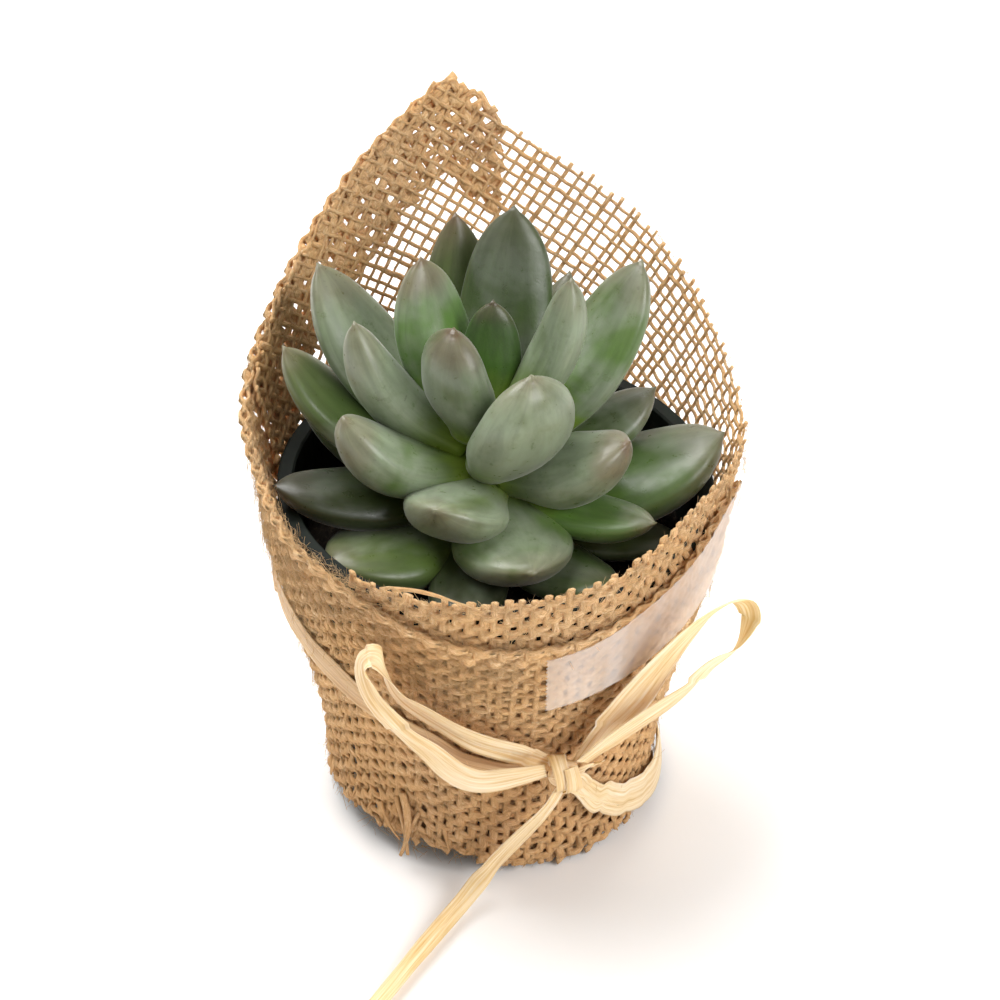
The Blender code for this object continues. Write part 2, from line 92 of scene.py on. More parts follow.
# Top edge of the outer layer where it lies in front: azimuth and height over the table
OUTER_EDGE = [(92, 82.5), (98.5, 82), (114, 79), (123, 77), (146, 74), (155, 72), (169, 70.2), (183, 71.2),
              (196, 72.6), (206, 75.4), (216, 80.5)]
HEM_DEPTH = 21.0
HEM_FOLD = 5.0
FELT_HAIRS = 3800
HAIR_SIDES = 3
HAIR_POINTS = 5

# Raffia: the routes of the bow's loops and of the free end, from the knot
LOOP_LEFT = [(11.2, -39.6, 36.4), (5.8, -42.0, 40.7), (-2.9, -43.6, 45.3), (-11.6, -43.9, 51.7),
             (-17.4, -44.6, 57.6), (-19.9, -46.6, 65.1), (-21.1, -49.3, 70.7), (-23.1, -51.4, 72.8),
             (-24.5, -50.0, 68.8), (-22.5, -48.6, 60.1), (-17.3, -47.8, 51.8), (-11.5, -46.6, 44.9),
             (-6.7, -45.4, 38.6), (-1.8, -44.6, 35.6), (5.0, -44.1, 36.5), (10.9, -43.3, 37.7)]
LOOP_RIGHT = [(17.4, -37.6, 35.6), (21.3, -38.2, 42.5), (25.9, -39.0, 50.4), (30.6, -40.2, 60.3),
              (35.5, -40.4, 68.7), (40.1, -38.8, 73.6), (44.4, -37.0, 75.8), (47.4, -36.0, 75.3),
              (48.8, -35.8, 72.0), (48.2, -36.4, 68.7), (46.3, -37.5, 64.7), (41.6, -39.4, 61.8),
              (37.7, -40.0, 57.0), (33.8, -40.6, 53.3), (28.8, -41.2, 49.0), (23.2, -41.6, 43.9),
              (17.9, -41.6, 38.6)]
TAIL_LONG = [(13.8, -42.2, 32.4), (12.2, -42.4, 28.6), (9.8, -41.8, 24.0), (6.8, -40.8, 18.8),
             (3.8, -39.8, 13.6), (1.0, -39.4, 9.0), (-1.6, -40.6, 5.4), (-4.2, -43.4, 3.2),
             (-7.2, -47.8, 2.3), (-10.6, -53.6, 2.1), (-14.4, -60.4, 2.1), (-18.4, -67.8, 2.1),
             (-22.4, -74.8, 2.1), (-26.0, -81.0, 2.1)]
RIBBON_COLUMNS = 13
ROUTE_STEP = 0.7

TAPE_RADIUS = 46.0  # about the tape's distance from the axis
TAPE_THICKNESS = 0.09
TAPE_STAND_OFF = 0.62  # clear of the threads under it
TAPE_PRINT = 0.10  # how deep the threads show through it

LEAF_COUNT = 31
LEAF_RINGS = 44
LEAF_SIDES = 30
LEAF_SWELL = 1.07

# Area lights by name: place and width in metres, and power in watts
LIGHTS = {"key": ((-0.38, 0.30, 1.00), 0.85, 16.0), "back": ((0.15, 0.95, 0.55), 0.8, 4.0),
          "side": ((0.80, -0.60, 0.75), 0.7, 10.5)}
WORLD_STRENGTH = 0.33
FLOOR_REACH = 2600.0

# How the threads are laid out in their UV maps
STRIP_GAP = 2.0  # from the end of one thread's strip to the start of the next
ROW_GAP = 0.4
PATTERN_SHIFT = 7.3  # along the pattern, from one thread's start to the next one's


# ---------------------------------------------------------------- small geometry helpers

def polar(azimuth, radius, height):
    """Points from azimuths in degrees, measured from the back towards the viewer's right."""
    turn = np.radians(azimuth)
    return np.stack(np.broadcast_arrays(radius * np.sin(turn), radius * np.cos(turn), height), -1)


def smoothstep(value, low, high):
    share = np.clip((np.asarray(value, float) - low) / (high - low), 0.0, 1.0)
    return share * share * (3.0 - 2.0 * share)


def unit(vectors):
    return vectors / np.maximum(np.linalg.norm(vectors, axis=-1, keepdims=True), 1e-9)


def gap_between(azimuth, centre):
    """The angle between two azimuths, from -180 to 180 degrees."""
    return (np.asarray(azimuth, float) - centre + 180.0) % 360.0 - 180.0


def blurred(values, reach):
    """A line of values smoothed by a bell curve that reaches this many entries."""
    offsets = np.arange(-3 * reach, 3 * reach + 1)
    weights = np.exp(-0.5 * (offsets / reach) ** 2)
    return np.convolve(np.pad(values, 3 * reach, mode="edge"), weights / weights.sum(), mode="valid")


def blurred_columns(table, reach):
    return np.stack([blurred(column, reach) for column in table.T], -1)


def wander(count, reach, size, rng):
    """A seeded random line that wanders smoothly, with this size."""
    values = blurred(rng.normal(size=count + 6 * reach), reach)[3 * reach:3 * reach + count]
    return size * values / max(values.std(), 1e-6) if count > 3 else np.zeros(count)


def spline(points, step):
    """A smooth curve through the points, with a point about every step."""
    points = np.asarray(points, float)
    ends = [2 * points[0] - points[1], *points, 2 * points[-1] - points[-2]]
    out = []
    for a, b, c, d in zip(ends, ends[1:], ends[2:], ends[3:]):
        count = max(2, int(round(np.linalg.norm(c - b) / step)))
        t = np.arange(count)[:, None] / count
        out.append(0.5 * (2 * b + (c - a) * t + (2 * a - 5 * b + 4 * c - d) * t ** 2
                          + (3 * b - a - 3 * c + d) * t ** 3))
    out.append(points[-1:])
    return np.concatenate(out)


def along(points):
    """The distance from the start at each point of a curve."""
    return np.concatenate([[0.0], np.cumsum(np.linalg.norm(np.diff(points, axis=0), axis=1))])


def welded(node):
    """A CAD node's corners without doubles, and its triangles over them."""
    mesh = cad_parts[node].data
    points = np.array([v.co[:] for v in mesh.vertices]) / MM
    _, first, back = np.unique(points.round(3), axis=0, return_index=True, return_inverse=True)
    back = back.reshape(-1)
    return points[first], np.array([back[list(p.vertices)] for p in mesh.polygons])


def build_mesh(name, points, face_sets, material, maps, node, tints=None):
    """A new piece, in place of a CAD node. face_sets are arrays of faces with the same number of corners in
    each, maps are UV maps by name with a place for each face corner, and tints are numbers by name for each
    point."""
    face_sets = [np.asarray(faces, np.int32) for faces in face_sets]
    corners = np.concatenate([faces.ravel() for faces in face_sets])
    totals = np.concatenate([np.full(len(faces), faces.shape[1], np.int32) for faces in face_sets])
    mesh = bpy.data.meshes.new(name)
    mesh.vertices.add(len(points))
    mesh.vertices.foreach_set("co", (np.asarray(points, np.float64) * MM).astype(np.float32).ravel())
    mesh.loops.add(len(corners))
    mesh.loops.foreach_set("vertex_index", corners)
    mesh.polygons.add(len(totals))
    mesh.polygons.foreach_set("loop_start", np.concatenate([[0], np.cumsum(totals)[:-1]]).astype(np.int32))
    mesh.update(calc_edges=True)
    for map_name, places in maps.items():
        mesh.uv_layers.new(name=map_name).data.foreach_set("uv", np.asarray(places, np.float32).ravel())
    for tint, values in (tints or {}).items():
        layer = mesh.attributes.new(tint, "FLOAT", "POINT")
        layer.data.foreach_set("value", np.asarray(values, np.float32))
    mesh.shade_smooth()
    mesh.materials.append(material)
    piece = bpy.data.objects.new(name, mesh)
    bpy.context.scene.collection.objects.link(piece)
    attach(piece, BODY)
    if node:
        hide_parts(node)
    return piece


def grid_faces(rows, columns):
    """Quads between rings of points, with places from 0 to 1 for each corner."""
    r = np.repeat(np.arange(rows - 1), columns)
    c = np.tile(np.arange(columns), rows - 1)
    beside = (c + 1) % columns
    here, above = r * columns, (r + 1) * columns
    quads = np.stack([here + c, here + beside, above + beside, above + c], -1)
    x = np.stack([c, c + 1, c + 1, c], -1) / columns
    y = np.stack([r, r, r + 1, r + 1], -1) / (rows - 1)
    return quads, np.stack([x, y], -1).reshape(-1, 2)


def signed_volume(points, quads):
    """The volume inside the quads, which is negative where they face inwards."""
    a, b, c, d = (points[quads[:, n]] for n in range(4))
    return float(((a * np.cross(b, c)).sum() + (a * np.cross(c, d)).sum()) / 6)


def flipped(places, corners):
    """The places of faces whose corners are taken in the other order."""
    return places.reshape(-1, corners, 2)[:, ::-1].reshape(-1, 2)


def closed_skin(name, rings, material, node, maps, ends=None, end_places=None):
    """A piece whose skin runs round each ring of points and is closed at both ends. maps gives each UV map
    from the places of the skin's corners."""
    rows, around = rings.shape[:2]
    points = rings.reshape(-1, 3)
    quads, places = grid_faces(rows, around)
    if ends is None:
        ends = np.array([np.arange(around), (rows - 1) * around + np.arange(around)[::-1]])
    if end_places is None:
        end_places = np.full((ends.size, 2), 0.5)
    inwards = signed_volume(points, quads) < 0
    if inwards:
        quads, ends = quads[:, ::-1], ends[:, ::-1]
    tables = {key: np.concatenate([flipped(table, 4) if inwards else table, end_places])
              for key, table in maps(places).items()}
    return build_mesh(name, points, [quads, ends], material, tables, node)


def tubes(name, runs, sides, material):
    """Many threads as one piece of the burlap. A run is its centres, the directions out of the cloth, and its
    half width and half depth at each centre. The map "Along" has millimetres along the thread and turns
    around it, and OFBake lays every run out as a strip of its own, in rows."""
    turn = np.arange(sides) / sides * 2 * math.pi
    disc = np.stack([np.cos(turn), np.sin(turn)], -1) * 0.25
    four = lambda *corners: np.stack(corners, -1).reshape(-1)
    points, quads, ends, lengthwise, places, end_lengthwise, end_places = [], [], [], [], [], [], []
    strips = [(along(run[0]), 2.0 * (run[2].max() + run[3].max()) * 1.5) for run in runs]
    area = sum((length[-1] + STRIP_GAP) * (tall + ROW_GAP) for length, tall in strips)
    row_length = math.sqrt(area) * 1.05  # the rows make about a square
    start, cursor, level, row_height = 0, 0.0, 0.0, 0.0
    for number, (centres, outward, half_width, half_depth) in enumerate(runs):
        count = len(centres)
        tangent = unit(np.gradient(centres, axis=0))
        side = unit(np.cross(tangent, outward))
        lift = unit(np.cross(side, tangent))
        ring = (centres[:, None] + side[:, None] * (half_width[:, None] * np.cos(turn))[..., None]
                + lift[:, None] * (half_depth[:, None] * np.sin(turn))[..., None])
        points.append(ring.reshape(-1, 3))
        first = start + np.arange(count - 1)[:, None] * sides
        here = np.arange(sides)[None, :]
        beside = (here + 1) % sides
        quads.append(np.stack([first + here, first + beside, first + sides + beside, first + sides + here],
                              -1).reshape(-1, 4))
        last = start + (count - 1) * sides
        ends.append(np.array([start + np.arange(sides)[::-1], last + np.arange(sides)]))
        length, tall = strips[number]
        if cursor + length[-1] + STRIP_GAP > row_length and cursor > 0:
            cursor, level, row_height = 0.0, level + row_height, 0.0
        row_height = max(row_height, tall + ROW_GAP)
        low, high = np.repeat(length[:-1, None], sides, 1), np.repeat(length[1:, None], sides, 1)
        left = np.repeat(here / sides, count - 1, 0)
        right = left + 1.0 / sides
        x, y = four(low, low, high, high), four(left, right, right, left)
        shift = PATTERN_SHIFT * number
        lengthwise.append(np.stack([x + shift, y], -1))
        end_lengthwise.append(np.concatenate([disc + [shift, 0.5], disc + [shift + length[-1], 0.5]]))
        places.append(np.stack([cursor + 0.7 + x, level + y * tall], -1))
        middle = level + 0.5 * tall
        end_places.append(np.concatenate([disc[::-1] + [cursor + 0.3, middle],
                                          disc + [cursor + length[-1] + 1.1, middle]]))
        cursor += length[-1] + STRIP_GAP
        start += count * sides
    size = max(row_length + STRIP_GAP, level + row_height)
    maps = {"Along": np.concatenate(lengthwise + end_lengthwise),
            "OFBake": np.concatenate(places + end_places) / size}
    faces = [np.concatenate(quads), np.concatenate(ends)]
    return build_mesh(name, np.concatenate(points), faces, material, maps, "burlap_wrap")


# ---------------------------------------------------------------- materials

def srgb(red, green, blue):
    """A colour given as 0 to 255 on screen, as the linear colour that shaders take."""
    shares = [c / 255 for c in (red, green, blue)]
    return (*[s / 12.92 if s <= 0.04 else ((s + 0.055) / 1.055) ** 2.4 for s in shares], 1.0)


class Surface:
    """A material made of nodes around one Principled shader, whose fixed values are given by socket name."""

    def __init__(self, name, **sockets):
        self.material = bpy.data.materials.new(name)
        self.material.use_nodes = True
        self.tree = self.material.node_tree
        self.shader = self.tree.nodes["Principled BSDF"]
        for socket, value in sockets.items():
            self.shader.inputs[socket.replace("_", " ")].default_value = value

    def node(self, kind, links=None, **settings):
        made = self.tree.nodes.new(kind)
        for setting, value in settings.items():
            setattr(made, setting, value)
        for socket, value in (links or {}).items():
            if isinstance(value, bpy.types.NodeSocket):
                self.tree.links.new(value, made.inputs[socket])
            else:
                made.inputs[socket].default_value = value
        return made

    def place(self, scale=(1, 1, 1), uv=None):
        """Coordinates: a UV map, or the piece's own place in metres, stretched by scale."""
        if uv:
            source = self.node("ShaderNodeUVMap", uv_map=uv).outputs["UV"]
        else:
            source = self.node("ShaderNodeTexCoord").outputs["Object"]
        return self.node("ShaderNodeMapping", {"Vector": source, "Scale": scale}).outputs["Vector"]

    def noise(self, place, scale, detail=3.0, roughness=0.55, distortion=0.0):
        made = self.node("ShaderNodeTexNoise", {"Vector": place, "Scale": scale, "Detail": detail,
                                                "Roughness": roughness, "Distortion": distortion})
        return made.outputs["Fac"]

    def tint(self, name):
        return self.node("ShaderNodeAttribute", attribute_name=name).outputs["Fac"]

    def math(self, operation, a, b=0.0):
        return self.node("ShaderNodeMath", {0: a, 1: b}, operation=operation).outputs[0]

    def spread(self, value, low, high, to_low=0.0, to_high=1.0):
        """The value from low to high, spread smoothly over another range."""
        made = self.node("ShaderNodeMapRange", {"Value": value, "From Min": low, "From Max": high,
                                                "To Min": to_low, "To Max": to_high},
                         interpolation_type="SMOOTHSTEP")
        return made.outputs["Result"]

    def ramp(self, value, *stops):
        made = self.node("ShaderNodeValToRGB", {"Fac": value})
        elements = made.color_ramp.elements
        while len(elements) < len(stops):
            elements.new(0.5)
        for element, (position, colour) in zip(elements, stops):
            element.position = position
            element.color = colour
        return made.outputs["Color"]

    def mix(self, share, a, b, blend="MIX"):
        sockets = {0: share, 6: a, 7: b}  # the colour sockets have the same names as the other types'
        return self.node("ShaderNodeMix", sockets, data_type="RGBA", blend_type=blend).outputs[2]

    def finish(self, colour, roughness, height, distance, strength):
        """Connects the patterns; distance is the bump's height in millimetres."""
        bump = self.node("ShaderNodeBump", {"Height": height, "Distance": distance * MM,
                                            "Strength": strength})
        self.tree.links.new(colour, self.shader.inputs["Base Color"])
        if roughness:
            self.tree.links.new(roughness, self.shader.inputs["Roughness"])
        self.tree.links.new(bump.outputs["Normal"], self.shader.inputs["Normal"])
        return self.material


def jute_material(name, fluff):
    """Spun jute: fibres that run along the thread with a slight twist, in uneven tones. Fluff is paler."""
    s = Surface(name, Roughness=0.92, Specular_IOR_Level=0.12, Subsurface_Weight=0.15,
                Subsurface_Scale=0.001, Subsurface_Radius=(1.0, 0.65, 0.38))
    fibres = s.noise(s.place((0.40, 8.0, 1), "Along"), 1.7, 7.0, 0.75, 0.9)
    lumps = s.noise(s.place((0.16, 0.6, 1), "Along"), 1.0, 2.0)
    patches = s.noise(s.place(), 62.0, 3.0)
    fine = s.ramp(fibres, (0.30, srgb(148, 106, 68)), (0.43, srgb(208, 164, 116)),
                  (0.55, srgb(240, 200, 152)), (0.70, srgb(255, 236, 200)))
    uneven = s.mix(s.spread(lumps, 0.35, 0.7, 0.0, 0.36), fine, srgb(200, 152, 100))
    warm = s.mix(s.spread(patches, 0.42, 0.62, 0.0, 0.28), uneven, srgb(244, 190, 124))
    brushed = s.mix(fluff, warm, srgb(255, 210, 146))
    # darker towards the foot: the colour turns browner from 48 mm down to 10 mm over the table
    height = s.node("ShaderNodeSeparateXYZ", {"Vector": s.place()}).outputs["Z"]
    darker_to_foot = s.mix(s.spread(height, 0.048, 0.010, 0.0, 0.4), brushed, srgb(178, 132, 86))
    return s.finish(darker_to_foot, None, fibres, 0.4, 0.9)


def raffia_material(name, shade, streak, pale):
    """Dried palm leaf: fine parallel fibres, with streaks that run its whole length."""
    s = Surface(name, Roughness=0.5, Specular_IOR_Level=0.35, Subsurface_Weight=0.3,
                Subsurface_Scale=0.0015, Subsurface_Radius=(1.0, 0.75, 0.4))
    fibres = s.noise(s.place((0.035, 14.0, 1), "Along"), 1.6, 5.0, 0.65, 0.1)
    bands = s.noise(s.place((0.016, 3.2, 1), "Along"), 1.3, 3.0, 0.5, 0.2)
    base = s.ramp(fibres, (0.3, streak), (0.48, shade), (0.68, pale))
    return s.finish(s.mix(s.spread(bands, 0.5, 0.72, 0.0, 0.75), base, streak), None, fibres, 0.05, 0.35)


def leaf_material():
    """Waxy leaf: green flesh that is brighter at its foot, a grey bloom that is rubbed off in places, and a
    brown point, all darkened by painted shade on the low leaves and towards each leaf's foot."""
    s = Surface("succulent_leaf", Roughness=0.34, Specular_IOR_Level=0.5, Subsurface_Weight=0.08,
                Subsurface_Scale=0.002, Subsurface_Radius=(0.4, 1.0, 0.3), Sheen_Weight=0.22,
                Sheen_Roughness=0.35)
    place = s.place()
    broad = s.noise(place, 60.0, 3.0, 0.5, 0.35)
    small = s.noise(place, 420.0, 4.0, 0.6)
    grain = s.noise(place, 2600.0, 3.0, 0.6)
    position = s.math("ADD", s.tint("leaf_along"), s.spread(broad, 0.3, 0.7, -0.09, 0.09))
    flesh = s.ramp(position, (0.04, srgb(150, 176, 52)), (0.26, srgb(98, 118, 42)), (0.55, srgb(74, 86, 40)),
                   (0.86, srgb(90, 92, 54)))
    bright = s.ramp(position, (0.05, srgb(172, 200, 70)), (0.4, srgb(92, 138, 46)), (0.9, srgb(92, 124, 64)))
    flesh = s.mix(s.tint("leaf_fresh"), flesh, bright)
    kept = s.math("ADD", broad, s.math("MULTIPLY", s.tint("leaf_bloom"), 0.24))
    bloom = s.math("MULTIPLY", s.spread(kept, 0.50, 0.70, 0.10, 0.95),
                   s.spread(position, 0.12, 0.5, 0.05, 1.0))
    bloom = s.math("MULTIPLY", bloom, s.spread(small, 0.3, 0.55, 0.75, 1.0))
    waxy = s.mix(bloom, flesh, srgb(136, 148, 122))
    browned = s.math("ADD", s.spread(position, 0.76, 0.98, 0.0, 0.62),
                     s.spread(s.tint("leaf_along"), 0.955, 0.99, 0.0, 0.3))
    blush = s.math("MULTIPLY", browned, s.tint("leaf_blush"))
    tipped = s.mix(blush, waxy, srgb(112, 92, 70))
    # painted shade: leaf_shade darkens the leaves that lie in shadow low in the plant, and every leaf is
    # painted darker towards its foot, where the leaves over it cast shade
    shade = s.math("MULTIPLY", s.tint("leaf_shade"), s.spread(s.tint("leaf_along"), 0.0, 0.35, 0.8, 1.0))
    # the streaks are the leaf's own uneven tone, multiplied in with the painted shade
    streaks = s.noise(s.place((9.0, 1.3, 1.0), "OFBake"), 1.6, 5.0, 0.6, 0.5)
    shade = s.math("MULTIPLY", shade, s.spread(streaks, 0.3, 0.7, 0.82, 1.12))
    tipped = s.mix(1.0, tipped, shade, "MULTIPLY")
    specks = s.math("MULTIPLY", s.spread(s.noise(place, 900.0, 2.0), 0.66, 0.74, 0.0, 0.5),
                    s.spread(broad, 0.5, 0.66, 0.0, 1.0))
    speckled = s.mix(specks, tipped, srgb(70, 66, 52))
    rough = s.spread(small, 0.3, 0.7, 0.27, 0.42)
    return s.finish(speckled, rough, s.math("ADD", grain, s.math("MULTIPLY", small, 2.0)), 0.05, 0.35)


def stem_material():
    s = Surface("stem_bark", Roughness=0.7)
    rings = s.noise(s.place((1, 1, 5)), 300.0, 4.0)
    return s.finish(s.ramp(rings, (0.3, srgb(96, 110, 62)), (0.7, srgb(150, 162, 98))), None, rings, 0.2, 0.6)


def soil_material():
    s = Surface("potting_mix", Roughness=0.95, Specular_IOR_Level=0.15)
    crumbs = s.noise(s.place(), 700.0, 6.0, 0.7)
    colour = s.ramp(crumbs, (0.3, srgb(14, 12, 10)), (0.55, srgb(34, 28, 22)), (0.75, srgb(70, 58, 44)))
    return s.finish(colour, None, crumbs, 0.5, 0.8)


def pot_material():
    """Thin black-green moulded plastic, scuffed by handling."""
    s = Surface("black_plastic", Roughness=0.6, Specular_IOR_Level=0.16)
    scuffs = s.noise(s.place((1, 1, 0.3)), 500.0, 5.0, 0.7)
    colour = s.ramp(scuffs, (0.35, srgb(14, 18, 15)), (0.75, srgb(34, 40, 34)))
    return s.finish(colour, s.spread(scuffs, 0.35, 0.7, 0.55, 0.75), scuffs, 0.04, 0.3)


def tape_material():
    """Matt clear tape, milky, which takes the print of the cloth under it."""
    s = Surface("matt_tape", Roughness=0.4, Alpha=0.34, Specular_IOR_Level=0.55)
    print_of_cloth = s.noise(s.place((1, 1, 1)), 420.0, 3.0)
    creases = s.noise(s.place((1, 1, 0.25)), 130.0, 3.0, 0.5, 0.8)
    colour = s.mix(s.spread(creases, 0.4, 0.66, 0.0, 0.6), srgb(238, 228, 220), srgb(222, 198, 172))
    return s.finish(colour, None, s.math("ADD", print_of_cloth, creases), 0.2, 0.5)


def floor_material():
    s = Surface("pale_floor", Roughness=0.9, Specular_IOR_Level=0.1)
    paper = s.noise(s.place(), 40.0, 4.0)
    colour = s.ramp(paper, (0.2, srgb(250, 249, 247)), (0.8, srgb(254, 253, 252)))
    return s.finish(colour, None, paper, 0.1, 0.1)


# ---------------------------------------------------------------- the wrapper's surface, read from the frame

class Wrap:
    """The outside of the wrapper by azimuth and height, from its CAD node's columns."""
    HEIGHTS = np.arange(-3.0, 142.0, 1.0)

    def __init__(self):
        points, _ = welded("burlap_wrap")
        azimuth = np.degrees(np.arctan2(points[:, 0], points[:, 1]))
        radius = np.hypot(points[:, 0], points[:, 1])
        self.peak = azimuth[points[:, 2].argmax()]
        self.columns = len(np.unique((gap_between(azimuth, self.peak) + 720.0).round(1) % 360.0))
        step = 360.0 / self.columns
        column = np.round(gap_between(azimuth, self.peak) / step).astype(int) % self.columns
        table, tops, feet = [], [], []
        for number in range(self.columns):
            mine = column == number
            heights = np.unique(points[mine, 2].round(2))
            widest = np.array([radius[mine][abs(points[mine, 2] - h) < 0.02].max() for h in heights])
            flare = (widest[-1] - widest[-3]) / (heights[-1] - heights[-3])
            over = np.maximum(self.HEIGHTS - heights[-1], 0.0)
            table.append(np.interp(self.HEIGHTS, heights, widest) + over * min(flare, 0.22))
            tops.append(heights[-1])
            feet.append(heights[0])
        self.table = np.array(table)
        self.tops = np.array(tops)
        self.feet = np.array(feet)

    def column_at(self, azimuth):
        place = (np.asarray(azimuth, float) - self.peak) / 360.0 * self.columns
        low = np.floor(place).astype(int)
        return low % self.columns, (low + 1) % self.columns, place - low

    def radius(self, azimuth, height):
        a, b, share = self.column_at(azimuth)
        place = np.clip(np.asarray(height, float) - self.HEIGHTS[0], 0.0, len(self.HEIGHTS) - 1.001)
        low = place.astype(int)
        rise = place - low
        first, second = (self.table[n, low] * (1 - rise) + self.table[n, low + 1] * rise for n in (a, b))
        return first * (1 - share) + second * share

    def edge(self, table, azimuth):
        a, b, share = self.column_at(azimuth)
        return table[a] * (1 - share) + table[b] * share

    def top(self, azimuth):
        return self.edge(self.tops, azimuth)

    def foot(self, azimuth):
        return self.edge(self.feet, azimuth)


WRAP = Wrap()


def outer_top(azimuth):
    """Height of the outer layer's folded edge: its own line in front, the wrapper's rim round the left."""
    turned = np.asarray(azimuth, float) % 360.0
    front = np.interp(turned, [a for a, _ in OUTER_EDGE], [h for _, h in OUTER_EDGE])
    share = smoothstep(turned, 206.0, 216.0)
    return front * (1 - share) + WRAP.top(azimuth) * share


def outer_foot(azimuth):
    """The outer layer reaches the foot in front, and narrows to a hem along the raised back."""
    turned = np.asarray(azimuth, float) % 360.0
    share = smoothstep(turned, 282.0, 304.0)
    return WRAP.foot(azimuth) * (1 - share) + (WRAP.top(azimuth) - HEM_DEPTH) * share


class Layer:
    """One turn of the cloth, unrolled from the cone so that its threads are straight: u runs along its edge
    and v down from it."""

    def __init__(self, middle, span, edge_span, top, foot, sunk, width, seed):
        self.middle, self.span, self.top, self.foot = middle, span, top, foot
        self.sunk, self.width = sunk, width
        self.rng = np.random.default_rng(seed)
        self.azimuths = np.arange(span[0] - 25.0, span[1] + 25.0, 1.0)
        clipped = np.clip(self.azimuths, *edge_span)
        self.line = blurred(self.slant(top(clipped)) * np.cos(self.unrolled(clipped)), 10)

    def slant(self, height):
        return (height + CONE_APEX_DEPTH) / math.cos(CONE_ANGLE)

    def unrolled(self, azimuth):
        return np.radians(np.asarray(azimuth, float) - self.middle) * math.sin(CONE_ANGLE)

    def rolled(self, u, v):
        """Azimuth and height of a place on the flat cloth."""
        across = np.interp(self.middle, self.azimuths, self.line) - v
        for _ in range(7):
            azimuth = self.middle + np.degrees(np.arctan2(u, across)) / math.sin(CONE_ANGLE)
            across = np.interp(azimuth, self.azimuths, self.line) - v
        return azimuth, np.hypot(u, across) * math.cos(CONE_ANGLE) - CONE_APEX_DEPTH

    def flat(self, azimuth, height):
        """The place on the flat cloth of an azimuth and height."""
        angle = self.unrolled(azimuth)
        reach = self.slant(height)
        return reach * np.sin(angle), np.interp(azimuth, self.azimuths, self.line) - reach * np.cos(angle)

    def limits(self):
        """The flat cloth's range of u and of v."""
        azimuths = np.linspace(*self.span, 60)
        corners = [self.flat(azimuths, self.top(azimuths)), self.flat(azimuths, self.foot(azimuths))]
        u = np.concatenate([c[0] for c in corners])
        v = np.concatenate([c[1] for c in corners])
        return u.min(), u.max(), v.min(), v.max()

    def threads(self, lengthwise, fold=0.0):
        """The runs of one family of threads: those along the edge, or those across it."""
        u_low, u_high, v_low, v_high = self.limits()
        if lengthwise:
            low, high = -fold if fold else v_low - 3.0, v_high + 3.0
            begin, end = u_low - CLOTH_MARGIN, u_high + CLOTH_MARGIN
        else:
            low, high = u_low - 3.0, u_high + 3.0
            begin, end = min(v_low - CLOTH_MARGIN, -fold), v_high + CLOTH_MARGIN
        travel = np.arange(begin, end, THREAD_STEP)
        runs = []
        for number in range(int(math.floor(low / THREAD_PITCH)), int(math.ceil(high / THREAD_PITCH))):
            aside = (number + 0.5) * THREAD_PITCH + wander(len(travel), 7, THREAD_RIPPLE, self.rng)
            aside = aside + wander(len(travel), 40, THREAD_DRIFT, self.rng)
            stray = self.rng.normal(0.0, 0.75)
            fat = math.exp(self.rng.normal(0.0, 0.13)) * (1 + wander(len(travel), 3, 0.10, self.rng))
            u, v = (travel, aside) if lengthwise else (aside, travel)
            azimuth, height = self.rolled(u, np.abs(v) if fold else v)
            if fold:
                height = np.where(v < 0, height - 0.3, height)
            keep = (azimuth > self.span[0] + stray * 0.5) & (azimuth < self.span[1] + stray * 0.5)
            keep &= height > np.maximum(self.foot(azimuth) + 0.5 + 0.8 * abs(stray) * (not lengthwise), 0.9)
            if fold:
                keep &= (v > -fold + 0.8 * stray) & (height < self.top(azimuth) + 2.5)
            else:
                keep &= height < self.top(azimuth) + (0.2 if lengthwise else 0.8 + 0.45 * stray)
            phase = math.pi * (travel / THREAD_PITCH + number)
            width = self.width(azimuth, lengthwise) * fat
            swing = WEAVE_SWING * width * np.cos(phase) * (1 if lengthwise else -1)
            sunk = self.sunk(azimuth)
            if fold:
                sunk = sunk + 0.8 * smoothstep(-v, -0.8, 0.8) - 0.8 * (1 - smoothstep(v, 1.0, 5.0))
            radius = WRAP.radius(azimuth, height) - sunk + swing
            centres = polar(azimuth, radius, height)
            edges = np.flatnonzero(np.diff(np.concatenate([[0], keep.astype(int), [0]])))
            depth = np.minimum(width * THREAD_FLATNESS, THREAD_DEEPEST)
            for first, last in edges.reshape(-1, 2):
                if last - first >= SHORTEST_RUN:
                    part = slice(first, last)
                    runs.append((centres[part], polar(azimuth[part], 1.0, 0.0), 0.5 * width[part],
                                 0.5 * depth[part]))
        return runs


def inner_width(azimuth, lengthwise):
    """The threads lie thin and open round the raised back, and full and close in front."""
    away = abs(gap_between(azimuth, 20.0))
    return 0.80 + 0.08 * lengthwise + 0.90 * smoothstep(away, 62.0, 112.0)


def outer_width(azimuth, lengthwise):
    """Flat, full threads, which almost close the cloth."""
    turned = np.asarray(azimuth, float) % 360.0
    return 1.66 + 0.14 * smoothstep(turned, 250.0, 300.0) + 0.06 * lengthwise


def inner_sunk(azimuth):
    """How far the inner layer lies inside the wrapper's outside: deeper where the outer one covers it."""
    covered = smoothstep(azimuth, 92.0, 106.0) + 1.0 - smoothstep(azimuth, -82.0, -66.0)
    return 1.0 + 0.55 * np.clip(covered, 0.0, 1.0)


def outer_sunk(azimuth):
    return 0.1 + 0.35 * smoothstep(azimuth, 285.0, 305.0)


